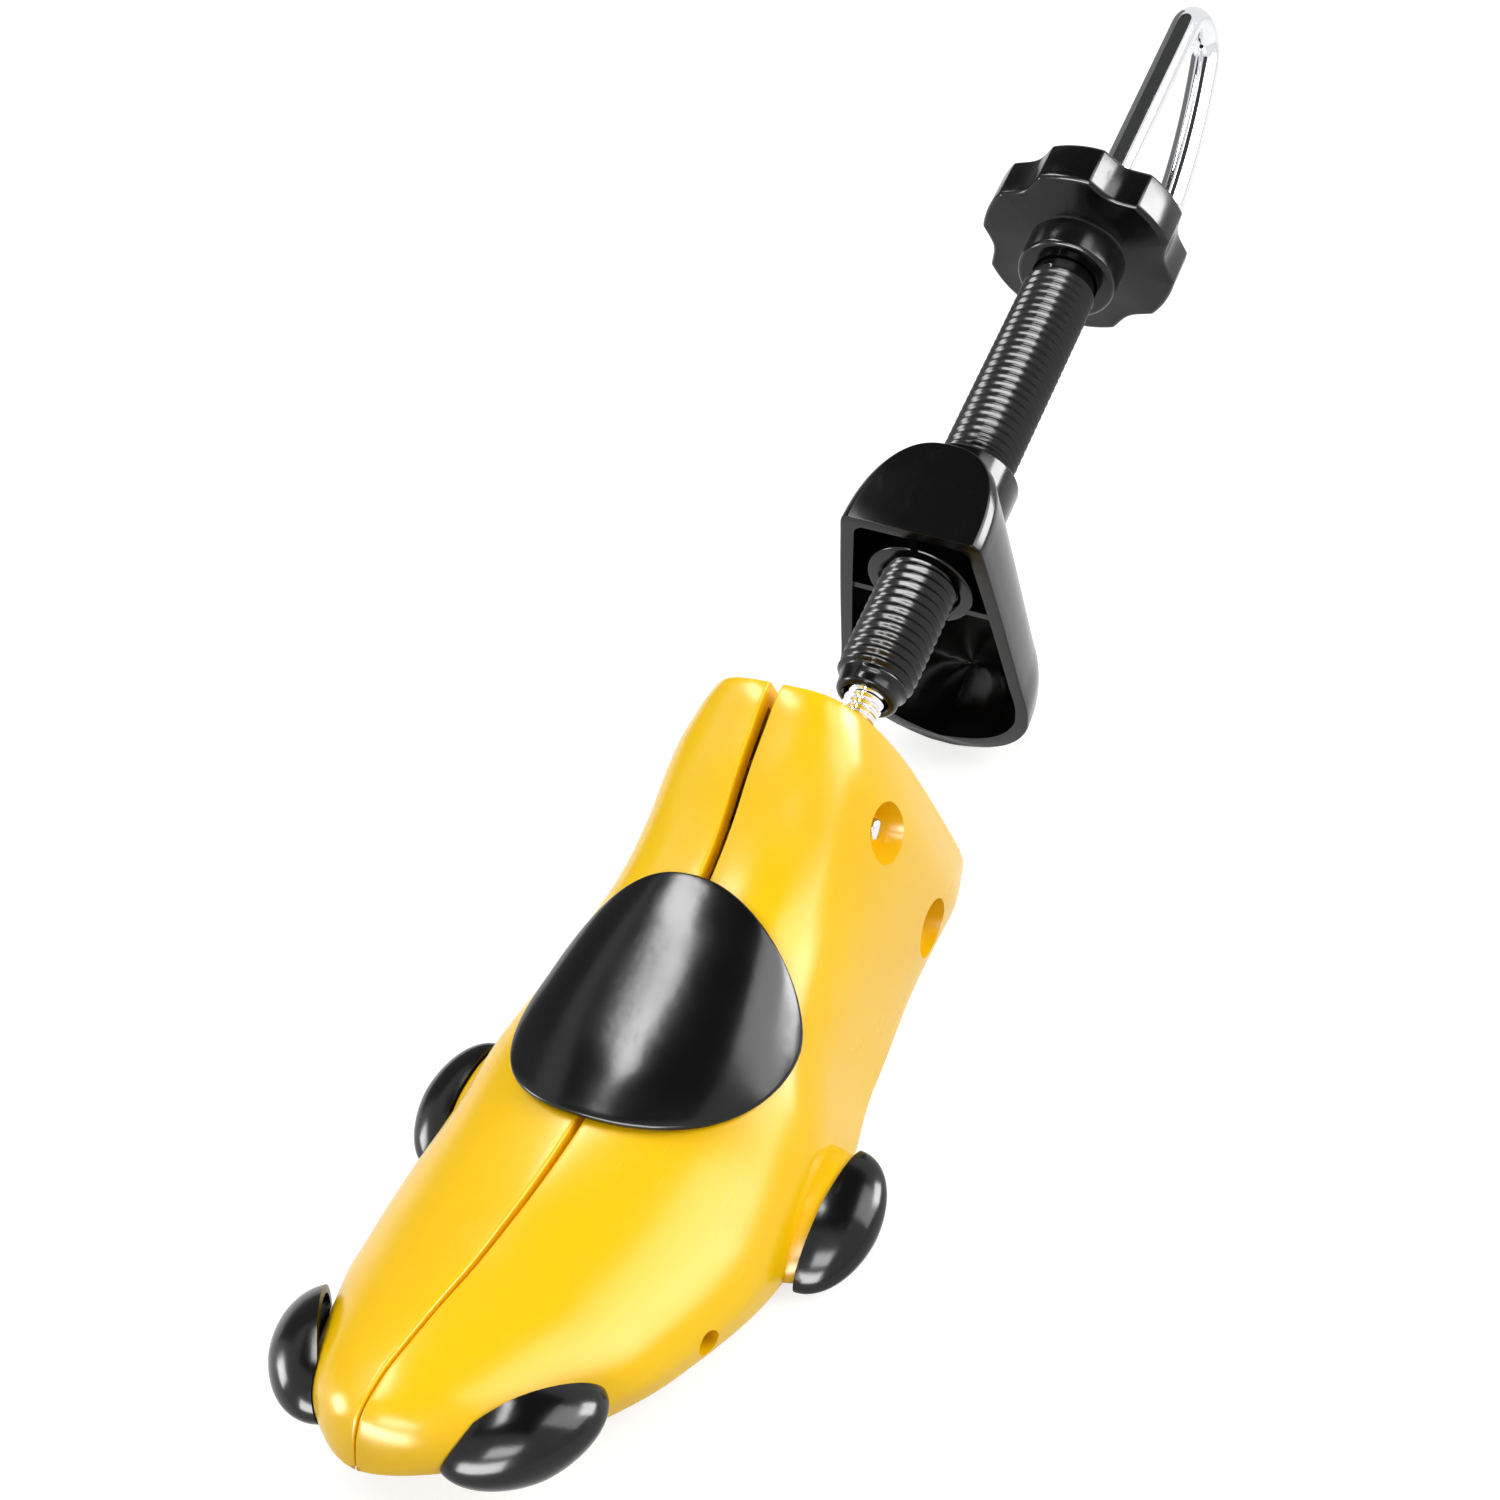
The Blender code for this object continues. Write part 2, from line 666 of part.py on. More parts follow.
def make_pad(material, stand):
    """Make the saddle-shaped instep pad, which follows the block's top, and its peg."""
    def rim_point(angle, reach):
        along, width = oval_point(angle, PAD_POWER)
        share = PAD_CENTRE_SHARE + PAD_HALF_LENGTH_SHARE * along * reach
        across = PAD_HALF_WIDTH * width * (1 - PAD_TAPER * along)
        across += PAD_SHIFT * (1 - along**2) - PAD_SKEW * max(0.0, along)
        return share, across * reach

    def lifted(share, across, height):
        here = surface_point(share, across)
        step = PAD_RIM
        beside = surface_point(share, across + step) - surface_point(share, across - step)
        step = PAD_RIM / TOE_TIP
        ahead = surface_point(share + step, across) - surface_point(share - step, across)
        normal = beside.cross(ahead).normalized()
        return here + normal * height

    angles = [2 * pi * index / PAD_POINTS for index in range(PAD_POINTS)]
    rings = []
    for index in range(1, PAD_RINGS + 1):
        reach = index / PAD_RINGS
        rings.append([lifted(*rim_point(angle, reach), PAD_STANDOFF) for angle in angles])
    for index in range(PAD_RINGS, 0, -1):
        reach = index / PAD_RINGS
        height = PAD_STANDOFF + PAD_RIM + (PAD_THICKNESS - PAD_RIM) * (1 - reach**PAD_CROWN_POWER)
        rings.append([lifted(*rim_point(angle, reach), height) for angle in angles])
    crown = surface_point(PAD_CENTRE_SHARE, 0)
    points, faces = loft(rings)
    pad = make_object("instep_pad", [Vector(point) - crown for point in points], faces,
                      material=material)
    peg = rod("peg", -PEG_DEPTH, PAD_THICKNESS / 2, PEG_RADIUS, PEG_SIDES)
    peg.rotation_euler = (pi / 2, 0, 0)
    weld(pad, peg)
    pad.parent = stand
    pad.location = crown
    return finish(pad)


def plug_shape(inset, half_height):
    """Return points and faces of a plug's dome, drawn in by a wall."""
    levels = [(-inset, 1)] if inset else []
    for index in range(PLUG_RINGS):
        turn = pi / 2 * index / PLUG_RINGS
        levels.append(((PLUG_DOME - inset) * sin(turn), cos(turn)))
    rings = []
    for out, reach in levels:
        ring = []
        for index in range(PLUG_POINTS):
            x, z = oval_point(2 * pi * index / PLUG_POINTS, PLUG_ALMOND_POWER)
            ring.append((x * reach * (PLUG_HALF_LENGTH - inset), out,
                         z * reach * (half_height - inset)))
        rings.append(ring)
    return loft(rings)


def make_spigot(side):
    """Return the short tube on the flank that the rear plug's peg goes into."""
    radius = PLUG_PEG_RADIUS + GAP + SPIGOT_WALL
    return flank_rod("spigot", *rear_seat(), side, -SOCKET_DEPTH / 2, SPIGOT_REACH, radius)


def make_plug(name, seat, roll, half_height, side, material, stand):
    """Make a hollow bunion plug that is seated on the flank, with the peg that holds it there."""
    place, turn = seat
    frame = plug_frame(place, turn, roll, side)
    plug = make_object(name, *moved(plug_shape(0.0, half_height), frame), material=material)
    cut(plug, make_object("core", *moved(plug_shape(PLUG_WALL, half_height), frame)))
    cut(plug, make_object("flank", *half_skin(side, SEAT_GAP)))
    weld(plug, flank_rod("peg", place, turn, side, -PLUG_PEG_REACH, PLUG_DOME - PLUG_WALL / 2,
                         PLUG_PEG_RADIUS))
    centre = Vector((side * place.x, place.y, place.z))
    plug.data.transform(Matrix.Translation(-centre))
    plug.parent = stand
    plug.location = centre
    return finish(plug)


# Hinge block, pins and spreader

def tap(start, length, radius, depth, lead, sides):
    """Return a screw-shaped cutter that leaves a matching thread with running clearance."""
    root = radius - depth + THREAD_GAP
    turns = length / lead
    before = [circle(start - lead, root, sides)]
    after = [circle(start + length + 2 * lead, root, sides)]
    screw = (start, lead * round(turns), radius + THREAD_GAP, depth, lead)
    return make_object("tap", *threaded(before, screw, after, sides))


def make_hinge_block(material, axis):
    """Make the block between the halves, threaded for the spindle, with its two pin holes."""
    depth = (HINGE_BACK - BLOCK_HALF_DEPTH, HINGE_BACK + BLOCK_HALF_DEPTH)
    block = box_between("hinge_block",
                        (-BLOCK_HALF_WIDTH, depth[0], -LOWER_PIN_DROP - BLOCK_EYE),
                        (BLOCK_HALF_WIDTH, depth[1], UPPER_PIN_RISE + BLOCK_EYE))
    block.data.materials.append(material)
    for rise in (UPPER_PIN_RISE, -LOWER_PIN_DROP):
        hole = rod("hole", -BLOCK_HALF_WIDTH - OVERRUN, BLOCK_HALF_WIDTH + OVERRUN,
                   PIN_RADIUS + GAP, PEG_SIDES)
        hole.rotation_euler = (0, 0, -pi / 2)
        hole.location = (0, HINGE_BACK, rise)
        cut(block, hole)
    skipped = floor((depth[0] + SCREW_FRONT) / SCREW_LEAD) - FADE_TURNS
    start = SCREW_LEAD * skipped - SCREW_FRONT
    length = depth[1] - depth[0] + SCREW_LEAD * 2 * FADE_TURNS
    cut(block, tap(start, length, SCREW_RADIUS, SCREW_DEPTH, SCREW_LEAD, ROD_SIDES))
    block.parent = axis
    return finish(block)


def make_pin(name, rise, material, axis):
    """Make a cross pin with chamfered ends."""
    ends = PIN_HALF_LENGTH
    profile = ((-ends, PIN_RADIUS - PIN_CHAMFER), (-ends + PIN_CHAMFER, PIN_RADIUS),
               (ends - PIN_CHAMFER, PIN_RADIUS), (ends, PIN_RADIUS - PIN_CHAMFER))
    pin = make_object(name, *turned(profile, PEG_SIDES), material=material, parent=axis,
                      place=(0, HINGE_BACK, rise))
    pin.rotation_euler = (0, 0, -pi / 2)
    return finish(pin)


def make_spreader(material, axis):
    """Make the crosshead that the spindle turns in and pushes forward."""
    back = -SPREADER_FRONT + SPREADER_DEPTH
    spreader = box_between("spreader",
                           (-SPREADER_HALF_WIDTH, -SPREADER_FRONT, -SPREADER_HALF_HEIGHT),
                           (SPREADER_HALF_WIDTH, back, SPREADER_HALF_HEIGHT))
    spreader.data.materials.append(material)
    bevel = spreader.modifiers.new("bevel", "BEVEL")
    bevel.width = SPREADER_BEVEL
    bevel.segments = 1
    bore = NECK_RADIUS + GAP
    cut(spreader, rod("bore", -SPREADER_FRONT - OVERRUN, back + OVERRUN, bore, ROD_SIDES))
    for side in (-1, 1):
        hole = rod("hole", -POST_FOOT - GAP, SPREADER_HALF_HEIGHT + OVERRUN, POST_RADIUS + GAP,
                   PEG_SIDES)
        hole.rotation_euler = (pi / 2, 0, 0)
        hole.location = (side * POST_REACH, (back - SPREADER_FRONT) / 2, 0)
        cut(spreader, hole)
    spreader.parent = axis
    return finish(spreader)


def make_post(name, side, material, axis):
    """Make one of the two dowels that stand in the spreader and slide in the slots."""
    middle = -SPREADER_FRONT + SPREADER_DEPTH / 2
    profile = ((-POST_FOOT, POST_RADIUS), (POST_TOP - PIN_CHAMFER, POST_RADIUS),
               (POST_TOP, POST_RADIUS - PIN_CHAMFER))
    post = make_object(name, *turned(profile, PEG_SIDES), material=material, parent=axis,
                       place=(side * POST_REACH, middle, 0))
    post.rotation_euler = (pi / 2, 0, 0)
    return finish(post)


def make_clip(material, axis):
    """Make the retaining ring on the spindle's neck, in front of the spreader."""
    rear = -SPREADER_FRONT - CLIP_STANDOFF
    front = rear - CLIP_THICKNESS
    inner = NECK_RADIUS + GAP
    profile = ((front, inner), (front, CLIP_RADIUS), (rear, CLIP_RADIUS), (rear, inner))
    clip = make_object("retaining_ring", *turned(profile, BORE_SIDES, bored=True),
                       material=material, parent=axis)
    return finish(clip)


# Spindle, tube, knob and heel block

def hook_rings():
    """Return the rings of the plain rod and of the hook that is bent from its rear end."""
    plane = radians(HOOK_PLANE)
    side = Vector((cos(plane), 0, sin(plane)))
    up = Vector((0, 1, 0))
    places = [(Vector((0, SCREW_REAR + SCREW_LEAD * 3, 0)), up)]
    places.append((up * HOOK_RISE, up))
    sweep = pi - radians(HOOK_SPLAY)
    for index in range(1, HOOK_STEPS + 1):
        angle = sweep * index / HOOK_STEPS
        place = up * (HOOK_RISE + HOOK_BEND * sin(angle)) + side * HOOK_BEND * (1 - cos(angle))
        places.append((place, up * cos(angle) + side * sin(angle)))
    end, heading = places[-1]
    for index in range(1, HOOK_LEG_STEPS + 1):
        angle = sweep + radians(HOOK_LEG_TURN) * index / HOOK_LEG_STEPS
        end = end + heading * HOOK_FREE_LEG / HOOK_LEG_STEPS
        heading = up * cos(angle) + side * sin(angle)
        places.append((end, heading))
    places.append((end + heading * PIN_CHAMFER, heading))
    across = side.cross(up).normalized()
    rings = []
    for index, (place, heading) in enumerate(places):
        radius = ROD_RADIUS - (PIN_CHAMFER if index == len(places) - 1 else 0)
        sideways = heading.cross(across).normalized()
        ring = []
        for step in range(ROD_SIDES):
            angle = 2 * pi * step / ROD_SIDES + plane
            ring.append(place + (across * cos(angle) + sideways * sin(angle)) * radius)
        rings.append(ring)
    return rings


def make_spindle(material, axis):
    """Make the steel spindle: neck, rolled screw thread, plain rod and bent hook in one piece."""
    root = SCREW_RADIUS - SCREW_DEPTH
    before = [circle(-NECK_FRONT, NECK_RADIUS - PIN_CHAMFER, ROD_SIDES),
              circle(-NECK_FRONT + PIN_CHAMFER, NECK_RADIUS, ROD_SIDES),
              circle(-SPREADER_FRONT + SPREADER_DEPTH + GAP, NECK_RADIUS, ROD_SIDES),
              circle(-SPREADER_FRONT + SPREADER_DEPTH + GAP, root, ROD_SIDES)]
    screw = (-SCREW_FRONT, SCREW_FRONT + SCREW_REAR, SCREW_RADIUS, SCREW_DEPTH, SCREW_LEAD)
    after = [circle(SCREW_REAR + SCREW_LEAD * 2, root, ROD_SIDES)] + hook_rings()
    spindle = make_object("spindle", *threaded(before, screw, after, ROD_SIDES),
                          material=material, parent=axis)
    return finish(spindle)


def make_tube(material, axis):
    """Make the black tube that turns on the spindle, threaded outside for the heel block."""
    root = TUBE_RADIUS - TUBE_THREAD_DEPTH
    spigot = KNOB_FRONT - KNOB_BOSS_LENGTH
    end = KNOB_FRONT + KNOB_SOCKET_END - GAP
    start = TUBE_NOSE + TUBE_LEAD
    turns = int((spigot - start) / TUBE_LEAD) - 2
    before = [circle(TUBE_NOSE, TUBE_BORE, TUBE_SIDES),
              circle(TUBE_NOSE, root - TUBE_MOUTH_ROUND, TUBE_SIDES),
              circle(TUBE_NOSE + TUBE_MOUTH_ROUND / 3, root - TUBE_MOUTH_ROUND / 3, TUBE_SIDES),
              circle(TUBE_NOSE + TUBE_MOUTH_ROUND, root, TUBE_SIDES)]
    screw = (start, turns * TUBE_LEAD, TUBE_RADIUS, TUBE_THREAD_DEPTH, TUBE_LEAD)
    after = [circle(spigot, root, TUBE_SIDES), circle(spigot, TUBE_SPIGOT_RADIUS, TUBE_SIDES),
             circle(end, TUBE_SPIGOT_RADIUS, TUBE_SIDES), circle(end, TUBE_BORE, TUBE_SIDES)]
    tube = make_object("threaded_tube", *threaded(before, screw, after, TUBE_SIDES, bored=True),
                       material=material, parent=axis)
    return finish(tube)


def knob_outline(share):
    """Return the knob's outline of lobes and flutes, drawn in by a share of its radius."""
    outline = []
    half_step = pi / KNOB_LOBES / 2
    flute = KNOB_RADIUS * (1 - KNOB_FLUTE_SHARE)
    for lobe in range(KNOB_LOBES):
        middle = radians(KNOB_PHASE) - half_step - lobe * 2 * pi / KNOB_LOBES
        for index in range(KNOB_POINTS):
            angle = middle + half_step * (1 - 2 * index / KNOB_POINTS)
            outline.append((angle, KNOB_RADIUS))
        for index in range(KNOB_POINTS):
            part = index / KNOB_POINTS
            angle = middle - half_step * (1 + 2 * part)
            outline.append((angle, KNOB_RADIUS - flute * sin(pi * part)))
    return [(radius * share * cos(angle), radius * share * sin(angle)) for angle, radius in outline]


def make_knob(material, axis):
    """Make the lobed knob, with the boss on its front and the recess in its back."""
    drawn_in = 1 - KNOB_BEVEL / KNOB_RADIUS
    layers = ((KNOB_FRONT, drawn_in), (KNOB_FRONT + KNOB_BEVEL, 1),
              (KNOB_FRONT + KNOB_THICKNESS - KNOB_BEVEL, 1), (KNOB_FRONT + KNOB_THICKNESS, drawn_in))
    rings = [[(x, along, z) for x, z in knob_outline(share)] for along, share in layers]
    knob = make_object("knob", *loft(rings), material=material)
    boss_front = KNOB_FRONT - KNOB_BOSS_LENGTH
    boss = turned(((boss_front, KNOB_BOSS_RADIUS - KNOB_BEVEL),
                   (boss_front + KNOB_BEVEL, KNOB_BOSS_RADIUS),
                   (KNOB_FRONT + KNOB_THICKNESS / 2, KNOB_BOSS_RADIUS)), BORE_SIDES)
    weld(knob, make_object("boss", *boss))
    cut(knob, rod("socket", boss_front - OVERRUN, KNOB_FRONT + KNOB_THICKNESS,
                  TUBE_SPIGOT_RADIUS + GAP, TUBE_SIDES))
    cut(knob, rod("recess", KNOB_FRONT + KNOB_SOCKET_END, KNOB_FRONT + KNOB_THICKNESS + OVERRUN,
                  KNOB_RECESS_RADIUS))
    knob.parent = axis
    return finish(knob)


def make_ring(name, start, length, radius, bore, material, axis):
    """Make a plain turned ring on the spindle's axis."""
    profile = ((start, bore), (start, radius), (start + length, radius), (start + length, bore))
    ring = make_object(name, *turned(profile, BORE_SIDES, bored=True), material=material,
                       parent=axis)
    return finish(ring)


def heel_ring(share, inset, front, back, drop):
    """Return one level of the heel block: straight across the front, round behind."""
    width = HEEL_HALF_WIDTH * smooth_value(HEEL_OUTLINE_SHARES, share) - inset
    level = HEEL_TOP - inset - share * (HEEL_TOP + drop - 2 * inset)
    ring = []
    for index in range(HEEL_PLAN_POINTS + 1):
        x, y = oval_point(pi * index / HEEL_PLAN_POINTS, HEEL_PLAN_POWER)
        ring.append((max(width, inset) * x, front + (back - front) * max(0.0, y), level))
    return ring


def heel_shape(inset, front, back, drop):
    """Return points and faces of the heel block, or of its hollow when drawn in by a wall."""
    rings = [heel_ring(row[0], inset, front, back, drop) for row in HEEL_OUTLINE_SHARES]
    return moved(loft(rings), Matrix.Rotation(radians(HEEL_ROLL), 4, "Y"))


def heel_drop():
    """Return how far below the spindle the heel block reaches the surface that it stands on."""
    drop = CROSS_HEIGHT + HEEL_HALF_WIDTH
    for _ in range(LEVELLING_ROUNDS):
        points, _ = heel_shape(0.0, HEEL_FRONT, HEEL_FRONT + HEEL_DEPTH, drop)
        lowest = min(spindle_to_stand(point[1], point[2]).z for point in points)
        drop += (lowest - STAND_CLEARANCE) / cos(radians(SPINDLE_TILT))
    return drop


def rolled_box(name, low, high):
    """Return a box that is turned with the heel block."""
    box = box_between(name, low, high)
    box.data.transform(Matrix.Rotation(radians(HEEL_ROLL), 4, "Y"))
    return box


def make_heel(material, axis):
    """Make the hollow heel block with its threaded hub and the ribs that hold the hub."""
    back = HEEL_FRONT + HEEL_DEPTH
    drop = heel_drop()
    heel = make_object("heel_block", *heel_shape(0.0, HEEL_FRONT, back, drop), material=material)
    hollow = make_object("hollow", *heel_shape(HEEL_WALL, HEEL_FRONT - OVERRUN,
                                               back - HEEL_WALL, drop))
    hub_front = HEEL_FRONT + HEEL_HUB_SETBACK
    cut(hollow, rod("hub", hub_front, back + OVERRUN, HEEL_HUB_RADIUS, TUBE_SIDES))
    half_rib = HEEL_RIB / 2
    cut(hollow, rolled_box("rib", (-half_rib, hub_front, 0),
                           (half_rib, back, HEEL_TOP + OVERRUN)))
    cut(hollow, rolled_box("ribs", (-HEEL_HALF_WIDTH, hub_front, -HEEL_SIDE_RIB_DROP - half_rib),
                           (HEEL_HALF_WIDTH, back, -HEEL_SIDE_RIB_DROP + half_rib)))
    cut(heel, hollow)
    weld(heel, rod("hub", HEEL_FRONT + HEEL_DEPTH / 2, HEEL_FRONT + HEEL_HUB_LENGTH,
                   HEEL_BOSS_RADIUS, TUBE_SIDES))
    thread_start = TUBE_NOSE + TUBE_LEAD
    skipped = int((HEEL_FRONT - thread_start) / TUBE_LEAD) - 2
    length = HEEL_HUB_LENGTH + 4 * TUBE_LEAD
    cut(heel, tap(thread_start + skipped * TUBE_LEAD, length, TUBE_RADIUS, TUBE_THREAD_DEPTH,
                  TUBE_LEAD, TUBE_SIDES))
    heel.parent = axis
    return finish(heel)


def middle_point():
    """Return how far behind the cross point the middle of the whole length lies."""
    front = min(point[1] for point in half_skin(1)[0])
    back = max(spindle_to_stand(point.y, point.z).y for ring in hook_rings() for point in ring)
    return (front + back) / 2


def build():
    """Make every piece of the stretcher."""
    clear_scene()
    yellow = make_material("yellow_plastic", YELLOW_PLASTIC)
    black = make_material("black_plastic", BLACK_PLASTIC)
    chrome = make_material("chrome", CHROME)
    steel = make_material("dark_steel", DARK_STEEL)
    stand = make_empty("stand", place=(0, -middle_point(), 0))
    axis = make_empty("spindle_axis", stand, (0, 0, CROSS_HEIGHT), (SPINDLE_TILT, 0, 0))
    for side, word in ((1, "right"), (-1, "left")):
        make_toe_half("toe_half_" + word, side, yellow, stand)
        make_plug("bunion_plug_front_" + word, front_seat(), FRONT_PLUG_ROLL,
                  TOE_HEIGHT * FRONT_PLUG_HEIGHT_SHARE, side, black, stand)
        make_plug("bunion_plug_rear_" + word, rear_seat(), REAR_PLUG_ROLL,
                  TOE_HEIGHT * REAR_PLUG_HEIGHT_SHARE, side, black, stand)
        make_post("spreader_post_" + word, side, chrome, axis)
    make_pad(black, stand)
    make_hinge_block(steel, axis)
    make_pin("upper_pin", UPPER_PIN_RISE, chrome, axis)
    make_pin("lower_pin", -LOWER_PIN_DROP, chrome, axis)
    make_spreader(steel, axis)
    make_clip(steel, axis)
    make_spindle(chrome, axis)
    make_tube(black, axis)
    make_knob(black, axis)
    collar_start = KNOB_FRONT + KNOB_SOCKET_END + GAP
    make_ring("thrust_collar", collar_start, COLLAR_LENGTH, COLLAR_RADIUS, ROD_RADIUS + GAP,
              steel, axis)
    make_ring("knob_cap", collar_start + COLLAR_LENGTH + GAP, CAP_LENGTH,
              KNOB_RECESS_RADIUS - GAP, ROD_RADIUS + RUNNING_GAP, black, axis)
    make_heel(black, axis)


build()
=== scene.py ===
"""Two-way shoe stretcher: finely shaped pieces, finishes, light and camera round its solids."""

import json
from math import cos, pi, radians, sin

import bmesh
import bpy
import numpy as np
from bpy.props import FloatProperty, FloatVectorProperty, PointerProperty
from bpy.types import Operator, Panel, PropertyGroup
from mathutils import Matrix, Vector


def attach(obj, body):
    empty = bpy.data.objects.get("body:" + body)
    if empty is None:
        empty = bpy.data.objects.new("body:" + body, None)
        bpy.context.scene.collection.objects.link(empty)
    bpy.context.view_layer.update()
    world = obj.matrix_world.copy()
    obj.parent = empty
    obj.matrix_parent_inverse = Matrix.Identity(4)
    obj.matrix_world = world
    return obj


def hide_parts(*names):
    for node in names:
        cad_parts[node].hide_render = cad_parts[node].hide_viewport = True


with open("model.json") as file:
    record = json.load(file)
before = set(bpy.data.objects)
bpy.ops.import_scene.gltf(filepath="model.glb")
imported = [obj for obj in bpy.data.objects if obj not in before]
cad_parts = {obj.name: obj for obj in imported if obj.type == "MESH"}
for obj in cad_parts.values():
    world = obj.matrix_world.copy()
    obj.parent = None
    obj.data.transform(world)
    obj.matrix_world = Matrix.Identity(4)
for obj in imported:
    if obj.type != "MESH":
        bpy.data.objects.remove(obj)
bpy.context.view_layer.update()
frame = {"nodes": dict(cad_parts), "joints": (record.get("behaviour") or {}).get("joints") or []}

bl_info = {
    "name": "Shoe Stretcher",
    "version": (1, 0, 0),
    "blender": (4, 5, 0),
    "location": "View3D > Sidebar > Stretcher",
    "description": "Builds a two-way shoe stretcher piece by piece, with its finishes and stage",
    "category": "Object",
}

JOINTS = {joint["name"]: joint for joint in frame["joints"]}
CROSS_POINT = Vector(JOINTS["spindle_turn"]["pos_m"])
AXIS_FRONT = Vector(JOINTS["spindle_turn"]["axis"])
STAND = Matrix.Translation((0, CROSS_POINT.y, 0))
AXIS = Matrix.Translation(CROSS_POINT) @ AXIS_FRONT.rotation_difference(
    Vector((0, -1, 0))).inverted().to_matrix().to_4x4()

OVERRUN = 0.004
GAP = 0.0003
RUNNING_GAP = 0.0004
THREAD_GAP = 0.00036
SMOOTH_ANGLE = 32.0
SLIVER = 0.000004

# Top line along the seam: share of the block's length, share of its height
TOP_LINE_SHARES = (
    (0.0, 0.262), (0.004, 0.300), (0.012, 0.345), (0.025, 0.382), (0.045, 0.404),
    (0.085, 0.418), (0.15, 0.415), (0.25, 0.402), (0.33, 0.405), (0.44, 0.428),
    (0.54, 0.493), (0.62, 0.550), (0.70, 0.612), (0.77, 0.672), (0.84, 0.762),
    (0.90, 0.868), (0.945, 0.934), (0.985, 0.990), (1.0, 1.0),
)
# Half width at each station: share of the block's length, share of its half width
WIDTH_SHARES = (
    (0.0, 0.40), (0.04, 0.52), (0.12, 0.665), (0.22, 0.865), (0.37, 1.0),
    (0.50, 0.97), (0.65, 0.79), (0.80, 0.705), (0.92, 0.69), (1.0, 0.58),
)
# Height of the widest line, roundness of the upper curve and sole width, along the length
BELLY_SHARES = ((0.0, 0.16), (0.3, 0.18), (0.65, 0.47), (1.0, 0.24))
UPPER_POWERS = ((0.0, 1.75), (0.3, 1.75), (0.5, 2.05), (0.65, 2.65), (1.0, 3.4))
SOLE_SHARES = ((0.0, 0.985), (0.65, 0.985), (1.0, 0.62))
LOWER_POWER = 2.2
SPRING_END_SHARE = 0.64
SPRING_POWER = 2.4
TIP_ROUND_SHARE = 0.14
TIP_ROUND_POWER = 2.2
FIRST_SHARE = 0.0005
SHARE_CROWDING = 1.5
REAR_EDGE = 0.0005
REAR_WALL = 0.0032

# Plug seats: share of the length, quarters of the curve from its top, sink, heading, roll
FRONT_SEAT = (0.0917, 0.8787, 0.0017, -36.0, -1.0)
REAR_SEAT = (0.4577, 1.2015, -0.00304, -2.8, 19.0)
SPARE_SEAT = (0.2705, 1.0548, 0.0008, -18.0, 0.0)
# Raised seat under the rear plug: how far out each level is, and its share of the plug's size
RAISED_LEVELS = ((-0.0070, 0.97), (-0.0030, 0.95), (-0.0010, 0.91), (-GAP, 0.87))
ALMOND_POWER = 1.75
PLUG_SEAT_GAP = 0.0005
PEG_RADIUS = 0.0019
PEG_REACH = 0.0100
SOCKET_DEPTH = 0.0125
SOCKET_WALL = 0.0020
SPIGOT_REACH = 0.0006
SPIGOT_WALL = 0.0011

# Pad: its place and length along the block, the shape of its outline, and its section
PAD_CENTRE_SHARE = 0.614
PAD_LENGTH_SHARE = 0.160
PAD_OUTLINE_POWER = 2.25
PAD_TAPER = 0.19
PAD_SKEW = 0.0026
PAD_TAIL_SKEW = 0.0016
PAD_LIFT = 0.0007
PAD_EDGE = 0.00042
PAD_CROWN_POWER = 3.5
PAD_INNER_SHARE = 0.04
PAD_PEG_RADIUS = 0.0030
PAD_PEG_DEPTH = 0.0100

# Hinge, spreader and what the toe block has for them
PIN_RISE = 0.0122
PIN_DROP = 0.0206
PIN_BACK = 0.0074
PIN_RADIUS = 0.0021
PIN_EDGE = 0.0007
PIN_SWING = 0.0007
PIN_REACH = 0.0175
PIN_HALF_LENGTH = 0.0203
BORE_RADIUS = 0.0055
BORE_DRAW = 0.0008
BORE_FLARE = 0.16
BOSS_RADIUS = 0.0078
BLOCK_HALF_WIDTH = 0.0062
BLOCK_TO_BOSS = 0.0011
SPREADER_FRONT = 0.0342
SPREADER_DEPTH = 0.0084
SPREADER_TRAVEL = 0.0090
OPENING = 3.0
POST_RADIUS = 0.0022
POST_REACH = 0.0076
TRACK_INNER = 0.0034
TRACK_HEIGHT = 0.0088
TRACK_THICKNESS = 0.0030
MOUTH_LENGTH = 0.0701
MOUTH_RADIUS = 0.0055

# Spindle, its places measured from the cross point
NECK_RADIUS = 0.0026
NECK_FRONT = -0.0380
NECK_EDGE = 0.0005
SCREW_DEPTH = 0.0006
SCREW_START = -0.0060
SCREW_END = 0.0480
HOOK_LEG_TURN = 17.2
HOOK_TIP_EDGE = 0.0012
HOOK_TIP_SHARE = 0.9

# Tube and knob
NOSE_DRAW = 0.0007
NOSE_EDGE = 0.0012
NOSE_CHAMFER = 0.0004
SPIGOT_RADIUS = 0.0068
KNOB_LOBES = 6
KNOB_FLUTE_SHARE = 0.10
KNOB_BOSS_REACH = 0.0079
KNOB_BOSS_RADIUS = 0.0111
KNOB_BORE = 0.0071
KNOB_RECESS = 0.0050
KNOB_RECESS_RADIUS = 0.0090
RECESS_CHAMFER = 0.0005
KNOB_CHAMFER = 0.0004
# Cove between boss and lobes: how far ahead of the lobes, how far out of the boss
KNOB_COVE = ((0.0006, 0.0), (0.0002, 0.0002), (0.0, 0.0006))
# Collar and cap behind the knob: from its front, length, radius and rounded edge
COLLAR_PLACE, COLLAR_LENGTH, COLLAR_RADIUS = 0.0053, 0.0028, 0.0068
CAP_PLACE, CAP_LENGTH, CAP_RADIUS = 0.0084, 0.0018, 0.0087
COLLAR_EDGE = 0.0004

